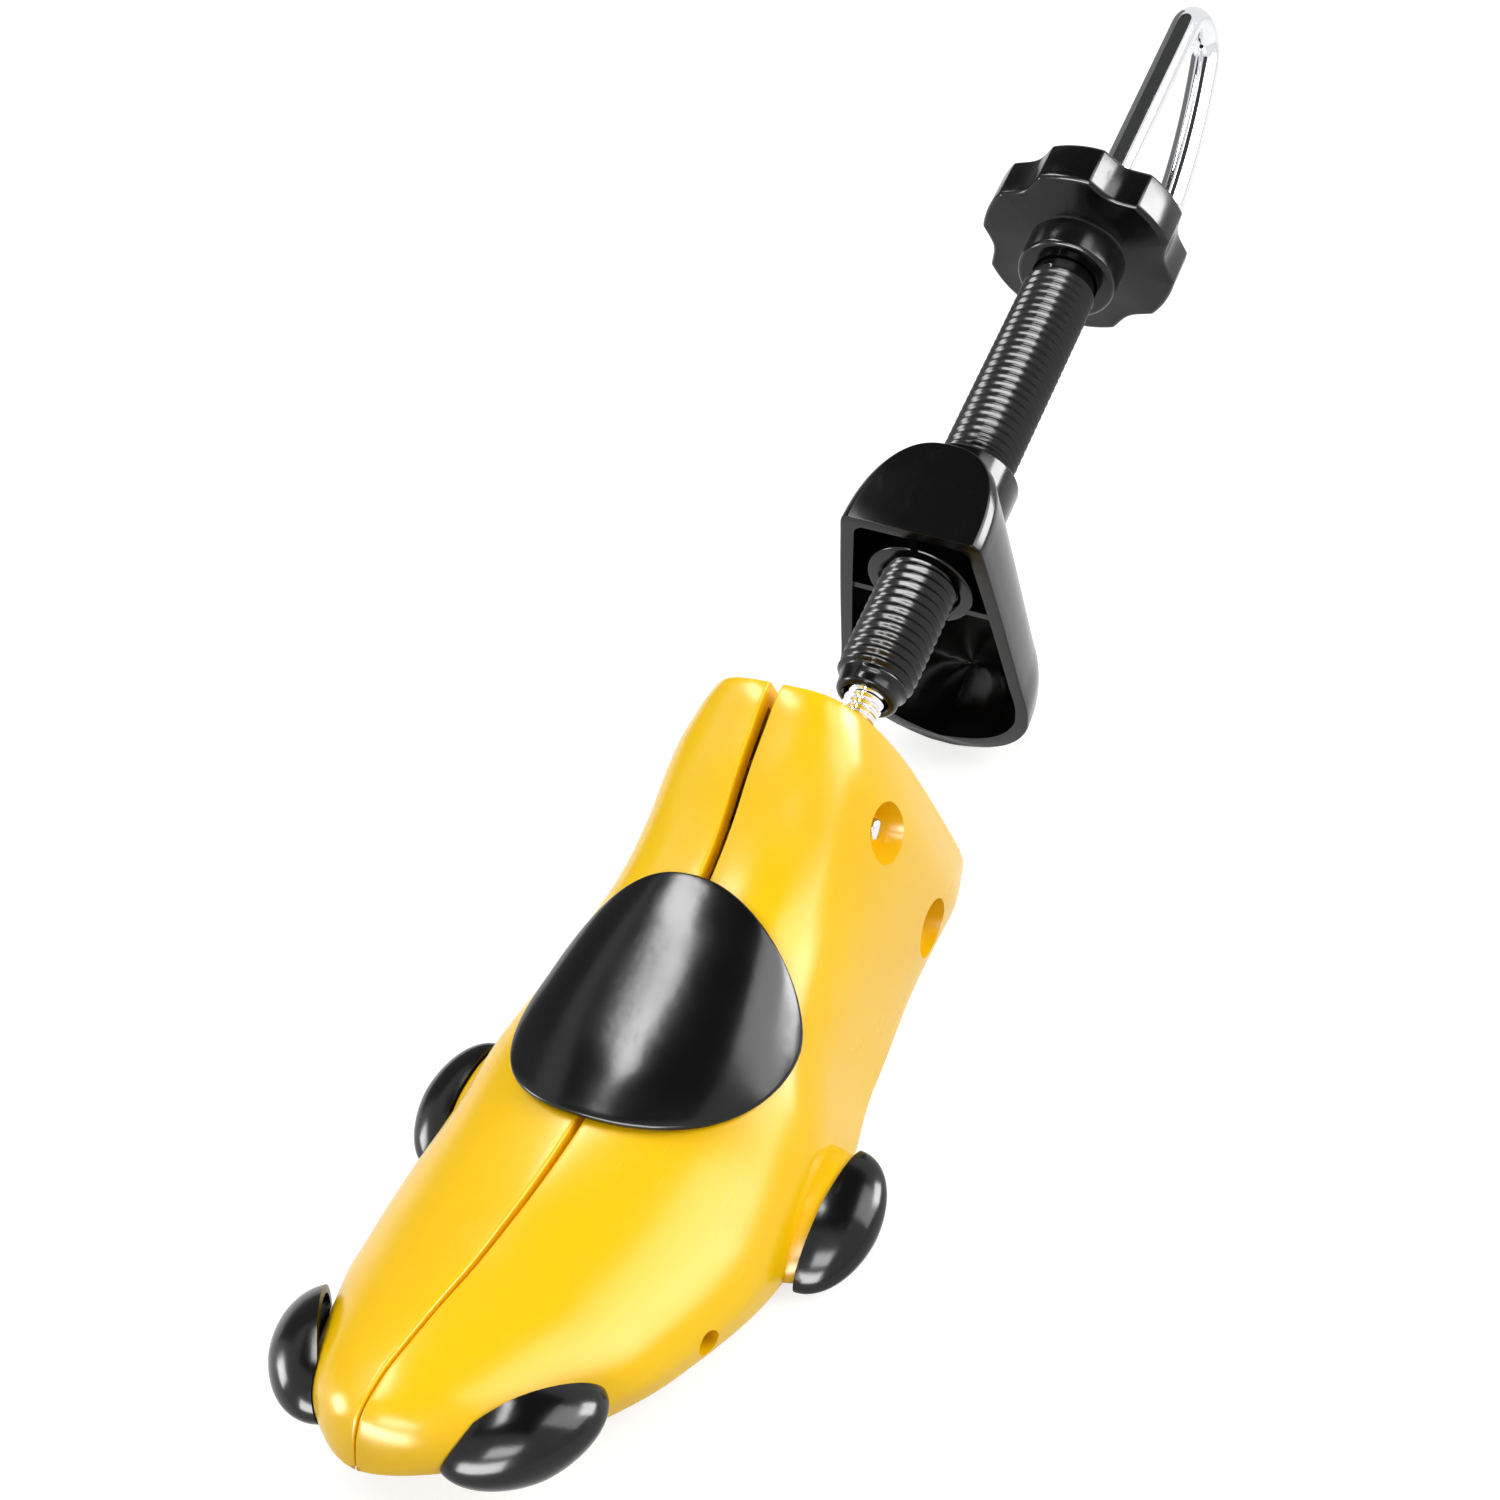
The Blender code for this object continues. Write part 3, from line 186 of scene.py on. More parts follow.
# Half width of the heel block down its front: share of the drop, share of its half width
HEEL_OUTLINE_SHARES = (
    (0.0, 0.615), (0.022, 0.690), (0.07, 0.715), (0.33, 0.835), (0.62, 0.955), (0.735, 1.0),
    (0.80, 0.985), (0.865, 0.90), (0.92, 0.75), (0.962, 0.54), (0.988, 0.31), (1.0, 0.14),
)
HEEL_POWER = 2.5
HEEL_LEAST_HALF_WIDTH = 0.0006
TABLE_GAP = 0.0001
HUB_SINK = 0.0008
HUB_RADIUS = 0.0114
HUB_EDGE = 0.0006
RIB_HALF = 0.0008
RIB_DROP = 0.0050
HEEL_BOSS_REACH = 0.0303
HEEL_BOSS_RADIUS = 0.0105
LIP_RISE, LIP_DEPTH, LIP_FALL = 0.0005, 0.0008, 0.0003


def length(name, description, default):
    """Return a property that holds a length in metres."""
    return FloatProperty(name=name, description=description, default=default, precision=5,
                         subtype="DISTANCE", unit="LENGTH")


def angle(name, description, default):
    """Return a property that holds an angle."""
    return FloatProperty(name=name, description=description, default=radians(default),
                         subtype="ANGLE", unit="ROTATION")


def tint(name, description, default):
    """Return a property that holds a surface colour."""
    return FloatVectorProperty(name=name, description=description, default=default, size=3,
                               min=0.0, max=1.0, subtype="COLOR")


class STRETCHER_PG_toe(PropertyGroup):
    """Sizes of the split toe block and of what is fixed on it."""

    tip: length("Toe reach", "From the cross point to the tip of the toe", 0.1349)
    rear_top: length("Top reach", "From the cross point to the top of the rear face", 0.0074)
    rear_sole: length("Sole reach", "From the cross point to the sole's rear edge", 0.0428)
    height: length("Height", "Height of the rear of the block", 0.0650)
    half_width: length("Half width", "Half width across the ball of the foot", 0.0339)
    spring: length("Toe spring", "Height of the sole's tip above the table", 0.0172)
    wall: length("Wall", "Thickness of the moulded flank", 0.0026)
    roof: length("Roof", "Thickness of the moulded top", 0.0034)
    seam_tip: length("Seam at the tip", "Half of the seam's gap at the tip", 0.00016)
    seam_rear: length("Seam at the rear", "Half of the seam's gap at the rear", 0.0015)
    seam_edge: length("Seam edge", "Radius of the rounded edge along the seam", 0.0005)
    pad_half_width: length("Pad half width", "Half width of the instep pad", 0.0226)
    pad_thickness: length("Pad thickness", "Thickness of the pad at its crown", 0.0022)
    pad_rim: length("Pad rim", "Height of the pad's rim", 0.0011)
    plug_half_length: length("Plug half length", "Half of a plug's length", 0.0133)
    plug_dome: length("Plug dome", "How far a plug's dome stands out", 0.0089)
    plug_wall: length("Plug wall", "Thickness of a plug's shell", 0.0015)
    front_plug: length("Front plug", "Half of the front plug's height", 0.0066)
    rear_plug: length("Rear plug", "Half of the rear plug's height", 0.0052)


class STRETCHER_PG_screw(PropertyGroup):
    """Sizes of the spindle, the threaded tube, the knob and the heel block."""

    rod_radius: length("Rod radius", "Radius of the plain spindle rod", 0.00355)
    screw_radius: length("Screw radius", "Radius over the spindle's thread", 0.0040)
    screw_lead: length("Screw lead", "Travel of the spindle's thread in a turn", 0.0015)
    hook_rise: length("Hook rise", "From the cross point to the start of the bend", 0.2440)
    hook_bend: length("Hook bend", "Radius of the hook's bend", 0.0067)
    hook_leg: length("Hook leg", "Length of the hook's free leg", 0.0400)
    hook_splay: angle("Hook splay", "How far the bend stops short of a half turn", 24.5)
    hook_plane: angle("Hook plane", "Turn of the hook about the spindle", -79.5)
    tube_radius: length("Tube radius", "Radius over the tube's thread", 0.0080)
    tube_depth: length("Thread depth", "Depth of the tube's thread", 0.0009)
    tube_lead: length("Tube lead", "Travel of the tube's thread in a turn", 0.0021)
    tube_bore: length("Tube bore", "Radius of the tube's bore", 0.0046)
    tube_nose: length("Tube nose", "From the cross point to the tube's front end", 0.0418)
    knob_front: length("Knob place", "From the cross point to the knob's front face", 0.1662)
    knob_radius: length("Knob radius", "Radius over the knob's lobes", 0.0222)
    knob_thickness: length("Knob thickness", "Thickness of the knob's lobes", 0.0110)
    knob_edge: length("Knob edge", "Radius of the knob's rounded edges", 0.0012)
    knob_phase: angle("Knob phase", "Turn of the knob about the spindle", 103.4)
    heel_front: length("Heel place", "From the cross point to the heel block's front", 0.0701)
    heel_top: length("Heel top", "Height of the heel block above the spindle", 0.0184)
    heel_depth: length("Heel depth", "Depth of the heel block", 0.0229)
    heel_half_width: length("Heel half width", "Half of the heel block's width", 0.0213)
    heel_wall: length("Heel wall", "Thickness of the heel block's shell", 0.0026)
    heel_edge: length("Heel edge", "Radius of the heel block's rounded edges", 0.00035)
    heel_roll: angle("Heel roll", "Turn of the heel block about the spindle", 7.75)


class STRETCHER_PG_finish(PropertyGroup):
    """Colours of the finishes."""

    yellow: tint("Yellow", "Colour of the toe block", (0.991, 0.610, 0.0006))
    deep_yellow: tint("Deep yellow", "Colour in the thick places of the block",
                      (0.973, 0.540, 0.0030))
    black: tint("Black", "Colour of the black mouldings", (0.0030, 0.0030, 0.0033))
    chrome: tint("Chrome", "Colour of the plated steel", (0.80, 0.81, 0.83))
    steel: tint("Steel", "Colour of the plain steel", (0.20, 0.20, 0.21))


# Mesh tools

def circle(count):
    """Return the angles of evenly spaced points round a circle."""
    return 2 * pi * np.arange(count) / count


def wrap(starts, columns, total):
    """Return the quads that join rings, known by the numbers of their first points, to the next.

    Each quad joins two neighbouring points of a ring to the same two of the next ring, and the
    last of all the points is followed by the first.
    """
    first = np.array(starts)[:, None]
    here = np.arange(columns)[None, :]
    beside = (here + 1) % columns
    following = (first + columns) % total
    quads = np.stack((first + here, first + beside, following + beside, following + here), -1)
    return quads.reshape(-1, 4).tolist()


def solid(name, rings, joined=False):
    """Return an object of one closed skin over an array of rings, capped or joined end to end."""
    rows, columns = rings.shape[:2]
    total = rows * columns
    faces = wrap(range(0, total if joined else total - columns, columns), columns, total)
    if not joined:
        faces += [list(range(columns)), list(range(total - columns, total))]
    return skin(name, rings.reshape(-1, 3), faces)


def skin(name, points, faces):
    """Return an object of points and faces, with its faces turned outwards."""
    mesh = bpy.data.meshes.new(name)
    mesh.from_pydata(points, [], faces)
    shell = bmesh.new()
    shell.from_mesh(mesh)
    bmesh.ops.recalc_face_normals(shell, faces=shell.faces)
    if shell.calc_volume(signed=True) < 0:
        bmesh.ops.reverse_faces(shell, faces=shell.faces)
    shell.to_mesh(mesh)
    shell.free()
    return placed(name, mesh)


def placed(name, mesh):
    """Return a new object of a mesh, linked to the scene."""
    thing = bpy.data.objects.new(name, mesh)
    bpy.context.scene.collection.objects.link(thing)
    return thing


def combine(target, tool, operation):
    """Apply a Boolean of two objects to the first, and drop the second."""
    change = target.modifiers.new("combine", "BOOLEAN")
    change.operation = operation
    change.solver = "EXACT"
    change.object = tool
    bpy.context.view_layer.update()
    mesh = bpy.data.meshes.new_from_object(
        target.evaluated_get(bpy.context.evaluated_depsgraph_get()))
    target.modifiers.remove(change)
    target.data = mesh
    bpy.data.objects.remove(tool, do_unlink=True)


def cut(target, tool):
    """Take the tool's volume out of the target."""
    combine(target, tool, "DIFFERENCE")


def weld(target, tool):
    """Add the tool's volume to the target."""
    combine(target, tool, "UNION")


def mirrored(thing):
    """Return a copy on the other side of the middle plane, with its faces pointing out."""
    shell = bmesh.new()
    shell.from_mesh(thing.data)
    bmesh.ops.scale(shell, vec=(-1, 1, 1), verts=shell.verts)
    bmesh.ops.reverse_faces(shell, faces=shell.faces)
    mesh = bpy.data.meshes.new("mirrored")
    shell.to_mesh(mesh)
    shell.free()
    return placed("mirrored", mesh)


def without_slivers(mesh):
    """Join points that a Boolean left within a few thousandths of a millimetre of each other."""
    shell = bmesh.new()
    shell.from_mesh(mesh)
    bmesh.ops.remove_doubles(shell, verts=shell.verts, dist=SLIVER)
    bmesh.ops.dissolve_degenerate(shell, edges=shell.edges, dist=SLIVER)
    shell.to_mesh(mesh)
    shell.free()


def deliver(thing, name, place, body, node, finish_name):
    """Name a piece, put its place into its mesh, shade and finish it, and set it on its body."""
    thing.name = name
    without_slivers(thing.data)
    thing.data.transform(place)
    thing.data.shade_smooth()
    thing.data.set_sharp_from_angle(angle=radians(SMOOTH_ANGLE))
    thing.data.materials.clear()
    thing.data.materials.append(finish_material(finish_name))
    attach(thing, body)
    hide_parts(node)


def smooth_curve(table, where):
    """Read a table along a curve of cubic pieces whose slopes are harmonic means, so that it
    passes through every entry and never overshoots one."""
    places, values = np.array(table, dtype=float).T
    steps = np.diff(places)
    slopes = np.diff(values) / steps
    before, after = slopes[:-1], slopes[1:]
    safe = np.where(before * after > 0, before + after, 1.0)
    inner = np.where(before * after > 0, 2 * before * after / safe, 0.0)
    tangents = np.concatenate((slopes[:1], inner, slopes[-1:]))
    where = np.clip(np.asarray(where, dtype=float), places[0], places[-1])
    piece = np.clip(np.searchsorted(places, where, side="right") - 1, 0, len(steps) - 1)
    width = steps[piece]
    t = (where - places[piece]) / width
    return ((2 * t**3 - 3 * t**2 + 1) * values[piece]
            + (t**3 - 2 * t**2 + t) * tangents[piece] * width
            + (3 * t**2 - 2 * t**3) * values[piece + 1]
            + (t**3 - t**2) * tangents[piece + 1] * width)


def edge_drop(distance, radius):
    """Return how far a rounded edge falls back at a distance from its corner: a quarter circle
    of the given radius, and nothing beyond the radius."""
    inside = np.clip(radius - distance, 0, radius)
    return radius - np.sqrt(np.maximum(radius**2 - inside**2, 0))


def quarter(radius, count):
    """Return distances from a corner that follow a quarter circle in equal angles."""
    return radius * (1 - np.cos(np.linspace(0, pi / 2, count)))


def rounding(radius, count):
    """Return distances from a corner along its quarter circle, and the drop at each."""
    steps = quarter(radius, count)
    return steps, edge_drop(steps, radius)


def oval(turn, power):
    """Return a unit oval: its two coordinates are the same power of the cosine and the sine."""
    x, z = np.cos(turn), np.sin(turn)
    return (np.abs(x) ** (2 / power) * np.sign(x), np.abs(z) ** (2 / power) * np.sign(z))


def rings_of(along, radius, turn):
    """Return rings round Y from places along it and radii that may differ round each ring."""
    along = np.atleast_1d(along)
    radius = np.broadcast_to(radius, (len(along), len(turn)))
    return np.stack((radius * np.sin(turn), np.repeat(along[:, None], len(turn), 1),
                     radius * np.cos(turn)), -1)


def turned(name, profile, sides=64, joined=False):
    """Return a piece turned round the Y axis: each (along, radius) pair carried round a circle."""
    along, radius = np.array(profile, dtype=float).T
    return solid(name, rings_of(along, radius[:, None], circle(sides)), joined)


def collar(name, start, depth, radius, bore):
    """Return a ring with four rounded edges: its section is a rectangle whose corners are quarter
    circles, turned round the Y axis."""
    turn = np.linspace(0, pi / 2, 5)
    high, low = COLLAR_EDGE * (1 - np.sin(turn)), COLLAR_EDGE * (1 - np.cos(turn))
    end = start + depth
    profile = np.concatenate((
        np.stack((start + high, bore + low), 1)[::-1], np.stack((start + low, radius - high), 1),
        np.stack((end - high, radius - low), 1)[::-1], np.stack((end - low, bore + high), 1)))
    return turned(name, profile, 96, joined=True)


def rounded_rod(name, start, end, radius, edge):
    """Return a rod along Y whose two ends have rounded edges."""
    steps, drops = rounding(edge, 6)
    profile = np.concatenate((np.stack((start + steps, radius - drops), 1),
                              np.stack((end - steps, radius - drops), 1)[::-1]))
    return turned(name, profile, 48)


def rod(name, start, end, radius, sides=48):
    """Return a plain rod along Y."""
    return turned(name, ((start, radius), (end, radius)), sides)


def box(name, low, high):
    """Return a box between two corners."""
    x = np.array((low[0], high[0], high[0], low[0]))
    z = np.array((low[2], low[2], high[2], high[2]))
    return solid(name, np.stack([np.stack((x, np.full(4, y), z), 1) for y in (low[1], high[1])]))


def set_as(thing, matrix):
    """Put a frame into a mesh."""
    thing.data.transform(matrix)
    return thing


def on_spindle():
    """Return the spindle's frame in the toe block's frame."""
    return STAND.inverted() @ AXIS


# Toe block

def toe_stations(toe, share, wall=0.0, roof=0.0):
    """Return top point, foot point, half width, belly, power and sole share of cross sections.

    A section leans from the top line to the sole line. A wall draws its flank and foot in, and
    a roof draws its top down.
    """
    share = np.asarray(share, dtype=float)
    top_along = -toe.tip + (toe.tip + toe.rear_top) * share
    sole_along = -toe.tip + (toe.tip + toe.rear_sole) * share
    top = toe.height * smooth_curve(TOP_LINE_SHARES, share)
    sole = toe.spring * np.maximum(0.0, 1 - share / SPRING_END_SHARE) ** SPRING_POWER
    nose = (1 - (1 - np.minimum(1.0, share / TIP_ROUND_SHARE)) ** TIP_ROUND_POWER)
    width = toe.half_width * smooth_curve(WIDTH_SHARES, share) * nose ** (1 / TIP_ROUND_POWER)
    rise = np.stack((np.zeros_like(share), top_along - sole_along, top - sole), -1)
    foot = np.stack((np.zeros_like(share), sole_along, sole), -1)
    reach = np.linalg.norm(rise, axis=-1)[..., None]
    wall, roof = np.asarray(wall)[..., None], np.asarray(roof)[..., None]
    bottom = foot + rise * (wall / reach)
    crown = foot + rise * (1 - roof / reach)
    return (crown, bottom, width - wall[..., 0], smooth_curve(BELLY_SHARES, share),
            smooth_curve(UPPER_POWERS, share), smooth_curve(SOLE_SHARES, share))


def seam_half_gap(toe, along):
    """Return half of the seam's gap, which widens evenly from the tip to the rear."""
    return toe.seam_tip + (toe.seam_rear - toe.seam_tip) * (along + toe.tip) / (
        toe.tip + toe.rear_sole)


def toe_skin(toe, share, wall=0.0, roof=0.0, edge=0.0, inner=None, upper=40, lower=12, fine=6):
    """Return rings round the right half's cross sections.

    The upper quarter goes across as a power of the sine and down as a power of the cosine, the
    lower quarter falls to the flat sole, and near the seam and the sole's edge both fall back by
    a quarter circle of the edge's radius.
    """
    crown, bottom, width, belly, power, flat = toe_stations(toe, share, wall, roof)
    width, belly, power, flat = (value[:, None] for value in (width, belly, power, flat))
    reach = np.linalg.norm(crown - bottom, axis=-1)[:, None]
    near = quarter(edge, fine)[None, :] if edge else np.zeros((1, 1))
    start = np.arcsin(np.clip(near / width, 0, 1) ** (power / 2))
    part = np.linspace(0, 1, upper + 1)[None, 1:]
    turn = np.concatenate((start, start[:, -1:] + (pi / 2 - start[:, -1:]) * part), 1)
    across = width * np.sin(turn) ** (2 / power)
    height = belly + (1 - belly) * np.maximum(0, np.cos(turn)) ** (2 / power)
    height = height - edge_drop(across, edge) / reach
    low = near[:, ::-1] / (belly * reach)
    stop = np.arcsin(np.clip(1 - low, 0, 1) ** (LOWER_POWER / 2))
    part = np.linspace(0, 1, lower + 1)[None, 1:-1]
    turn = np.concatenate((stop[:, :1] * part, stop), 1)
    side = width * (flat + (1 - flat) * np.maximum(0, np.cos(turn)) ** (2 / LOWER_POWER))
    fall = belly * (1 - np.sin(turn) ** (2 / LOWER_POWER))
    side = side - edge_drop(fall * reach, edge)
    part = np.linspace(1, 0, 7)[None, 1:-1]
    sole = np.concatenate((side[:, -1:] * part, np.repeat(near[:, ::-1], len(side), 0)), 1)
    rise = edge_drop(sole, edge) / reach * (sole < side[:, -1:] / 2)
    across = np.concatenate((across, side, sole), 1)
    height = np.concatenate((height, fall, rise), 1)
    place = bottom[:, None, :] + (crown - bottom)[:, None, :] * height[..., None]
    gap = seam_half_gap(toe, place[..., 1]) if inner is None else inner
    place[..., 0] = gap + across * (1 - gap / width)
    return place


def toe_shares(count=110):
    """Return shares of the block's length, close together at the tip."""
    return FIRST_SHARE + (1 - FIRST_SHARE) * np.linspace(0, 1, count) ** SHARE_CROWDING


def toe_body(toe):
    """Return the right half's solid skin, whose last stations draw in round the rear edge."""
    span = toe.tip + toe.rear_top
    steps, drops = rounding(REAR_EDGE, 5)
    share = np.concatenate((toe_shares()[:-1] * (1 - REAR_EDGE / span), 1 - steps[::-1] / span))
    inset = np.concatenate((np.zeros(len(share) - len(steps)), drops[::-1]))
    return solid("toe_half", toe_skin(toe, share, inset, inset, toe.seam_edge))


def toe_surface(toe, share, across):
    """Return points of the block's upper surface at stations, so far off the middle plane."""
    crown, bottom, width, belly, power, _ = toe_stations(toe, share)
    part = np.minimum(1.0, np.abs(across) / width)
    height = belly + (1 - belly) * (1 - part**power) ** (1 / power)
    place = bottom + (crown - bottom) * height[..., None]
    place[..., 0] = across
    return place


def seat_frame(toe, seat):
    """Return the frame of a plug's seat: Y points out of the flank and Z across the almond."""
    share, quarters, sink, heading, roll = seat
    crown, bottom, width, belly, power, flat = toe_stations(toe, np.array([share]))
    if quarters <= 1:
        turn = pi / 2 * quarters
        across = width * sin(turn) ** (2 / power)
        height = belly + (1 - belly) * cos(turn) ** (2 / power)
    else:
        turn = pi / 2 * (quarters - 1)
        across = width * (flat + (1 - flat) * cos(turn) ** (2 / LOWER_POWER))
        height = belly * (1 - sin(turn) ** (2 / LOWER_POWER))
    place = (bottom + (crown - bottom) * height[:, None])[0]
    out = Vector((cos(radians(heading)), sin(radians(heading)), 0))
    surface = Vector((across[0], place[1], place[2])) - out * sink
    return (Matrix.Translation(surface) @ Matrix.Rotation(radians(heading - 90), 4, "Z")
            @ Matrix.Rotation(radians(roll), 4, "Y"))


def outwards(place):
    """Return a frame at a place whose Y points out through the right flank."""
    return Matrix.Translation(place) @ Matrix.Rotation(-pi / 2, 4, "Z")


def at_pin(thing, rise):
    """Set a shape across the toe block at a hinge pin's place."""
    middle = on_spindle() @ Vector((0, PIN_BACK, rise))
    return set_as(thing, outwards((0, middle.y, middle.z)))


def seat_rod(toe, seat, start, end, radius):
    """Return a rod square to the flank at a plug's seat."""
    return set_as(rod("seat", start, end, radius, 32), seat_frame(toe, seat))


def toe_hollow(toe):
    """Return the right half's hollow, with the bosses, the slot track and the sockets left out."""
    share = np.linspace(TIP_ROUND_SHARE / 2, 1 - REAR_WALL / toe.tip, 40)
    hollow = solid("hollow", toe_skin(toe, share, toe.wall, toe.roof, inner=-OVERRUN,
                                      upper=16, lower=6))
    start = BLOCK_HALF_WIDTH + BLOCK_TO_BOSS
    for rise in (PIN_RISE, -PIN_DROP):
        cut(hollow, at_pin(rod("boss", start, toe.half_width, BOSS_RADIUS), rise))
    back = -(SPREADER_FRONT - SPREADER_DEPTH / 2) + SPREADER_DEPTH
    front = back - SPREADER_TRAVEL - 2 * SPREADER_DEPTH
    track = box("track", (TRACK_INNER, front, TRACK_HEIGHT),
                (toe.half_width, back, TRACK_HEIGHT + TRACK_THICKNESS))
    cut(hollow, set_as(track, on_spindle()))
    for seat in (FRONT_SEAT, SPARE_SEAT, REAR_SEAT):
        cut(hollow, seat_rod(toe, seat, -SOCKET_DEPTH, OVERRUN, PEG_RADIUS + GAP + SOCKET_WALL))
    return hollow


def post_slot():
    """Return the slanting slot of the spreader's post: two half circles and what is between."""
    shut = Vector((POST_REACH, -(SPREADER_FRONT - SPREADER_DEPTH / 2), 0))
    pivot = Vector((PIN_REACH, PIN_BACK, 0))
    opened = pivot + Matrix.Rotation(-radians(OPENING), 3, "Z") @ (
        shut - Vector((0, SPREADER_TRAVEL, 0)) - pivot)
    run = opened - shut
    heading = np.arctan2(run.y, run.x)
    turn = np.linspace(-pi / 2, pi / 2, 17)
    radius = POST_RADIUS + RUNNING_GAP
    ends = ((opened, turn + heading), (shut, turn + (heading + pi)))
    x = np.concatenate([centre.x + radius * np.cos(arc) for centre, arc in ends])
    y = np.concatenate([centre.y + radius * np.sin(arc) for centre, arc in ends])
    levels = (TRACK_HEIGHT - OVERRUN, TRACK_HEIGHT + TRACK_THICKNESS + OVERRUN)
    rings = np.stack([np.stack((x, y, np.full_like(x, level)), 1) for level in levels])
    return set_as(solid("slot", rings), on_spindle())


def pad_peg(toe, start, end, radius):
    """Return a rod that runs up through the block's top at the pad's middle."""
    middle = Vector(toe_surface(toe, np.array([PAD_CENTRE_SHARE]), np.zeros(1))[0])
    return set_as(rod("peg", start, end, radius, 32),
                  Matrix.Translation(middle) @ Matrix.Rotation(pi / 2, 4, "X"))


def toe_half(toe):
    """Return the hollow right half with its bosses, bores, slot, sockets and mouth."""
    half = toe_body(toe)
    cut(half, toe_hollow(toe))
    weld(half, seat_rod(toe, REAR_SEAT, -SOCKET_DEPTH / 2, SPIGOT_REACH,
                        PEG_RADIUS + GAP + SPIGOT_WALL))
    weld(half, set_as(almond("land", RAISED_LEVELS, toe.plug_half_length, toe.rear_plug),
                      seat_frame(toe, REAR_SEAT)))
    depth = toe.half_width - PIN_REACH
    cone = ((PIN_REACH, BORE_RADIUS - BORE_DRAW),
            (PIN_REACH + depth, BORE_RADIUS + BORE_FLARE * depth))
    for rise in (PIN_RISE, -PIN_DROP):
        hole = rod("hole", BLOCK_HALF_WIDTH, toe.half_width, PIN_RADIUS + PIN_SWING)
        cut(half, at_pin(hole, rise))
        cut(half, at_pin(turned("bore", cone), rise))
    cut(half, post_slot())
    for seat in (FRONT_SEAT, SPARE_SEAT, REAR_SEAT):
        cut(half, seat_rod(toe, seat, -PEG_REACH - RUNNING_GAP, toe.plug_dome + OVERRUN,
                           PEG_RADIUS + GAP))
    cut(half, set_as(rod("mouth", 0, MOUTH_LENGTH, MOUTH_RADIUS), on_spindle()))
    cut(half, pad_peg(toe, -PAD_PEG_DEPTH - OVERRUN, OVERRUN, PAD_PEG_RADIUS + GAP))
    return half


def pad_profile(toe):
    """Return reach and height pairs round the pad's section: flat below, rounded at the rim and
    crowned above, where it rises with one minus a power of the reach."""
    crown = toe.pad_thickness - toe.pad_rim
    turn = np.linspace(0, pi / 2, 6)
    share = PAD_EDGE / toe.pad_half_width

    def top(reach):
        """Return the height of the crowned top."""
        return PAD_LIFT + toe.pad_rim + crown * (1 - reach**PAD_CROWN_POWER)

    below = np.linspace(PAD_INNER_SHARE, 1 - share, 12)
    rim = 1 - share * (1 - np.cos(turn))
    above = np.linspace(1 - share, PAD_INNER_SHARE, 22)[1:]
    return np.concatenate((
        np.stack((below, np.full_like(below, PAD_LIFT)), 1),
        np.stack((1 - share * (1 - np.sin(turn[1:])),
                  PAD_LIFT + PAD_EDGE * (1 - np.cos(turn[1:]))), 1),
        np.stack((rim, top(rim) - PAD_EDGE * (1 - np.sin(turn))), 1),
        np.stack((above, top(above)), 1)))


def instep_pad(toe):
    """Return the saddle-shaped pad: its section carried round a skewed oval, and every point
    lifted off the block's upper surface along that surface's normal."""
    along, width = oval(circle(120), PAD_OUTLINE_POWER)
    reach, height = pad_profile(toe).T
    across = toe.pad_half_width * width * (1 - PAD_TAPER * along)
    across = across + PAD_SKEW * (1 - along**2) - PAD_TAIL_SKEW * np.maximum(0.0, along)
    share = PAD_CENTRE_SHARE + PAD_LENGTH_SHARE * along * reach[:, None]
    across = across * reach[:, None]
    step = toe.pad_rim
    beside = toe_surface(toe, share, across + step) - toe_surface(toe, share, across - step)
    step = toe.pad_rim / toe.tip
    ahead = toe_surface(toe, share + step, across) - toe_surface(toe, share - step, across)
    normal = np.cross(beside, ahead)
    normal /= np.linalg.norm(normal, axis=-1)[..., None]
    pad = solid("pad", toe_surface(toe, share, across) + normal * height[:, None, None])
    weld(pad, pad_peg(toe, -PAD_PEG_DEPTH, toe.pad_thickness / 2, PAD_PEG_RADIUS))
    return pad


def almond(name, levels, half_length, half_height):
    """Return a solid of almond rings: a level says how far out it is and its share of the size."""
    out, reach = np.array(levels).T[:, :, None]
    x, z = oval(circle(96), ALMOND_POWER)
    return solid(name, np.stack((x * reach * half_length, out + 0 * x,
                                 z * reach * half_height), -1))


def plug_dome(toe, place, inset, half_height):
    """Return a plug's dome: almond rings that shrink with the cosine as they rise with the sine."""
    climb = np.linspace(0, 0.985 * pi / 2, 20)
    levels = np.stack(((toe.plug_dome - inset) * np.sin(climb), np.cos(climb)), 1)
    if inset:
        levels = np.concatenate((((-inset, 1.0),), levels))
    return set_as(almond("dome", levels, toe.plug_half_length - inset, half_height - inset), place)


def bunion_plug(toe, seat, half_height):
    """Return a hollow plug seated on the right flank, with its peg."""
    place = seat_frame(toe, seat)
    plug = plug_dome(toe, place, 0.0, half_height)
    cut(plug, plug_dome(toe, place, toe.plug_wall, half_height))
    cut(plug, solid("flank", toe_skin(toe, toe_shares(70), -PLUG_SEAT_GAP, -PLUG_SEAT_GAP,
                                      upper=24)))
    weld(plug, seat_rod(toe, seat, -PEG_REACH, toe.plug_dome - toe.plug_wall / 2, PEG_RADIUS))
    return plug


# Screw parts

def fade(along, start, end, reach):
    """Return a share that rises smoothly from the start and falls smoothly to the end."""
    part = np.clip(np.minimum(along - start, end - along) / reach, 0, 1)
    return part * part * (3 - 2 * part)


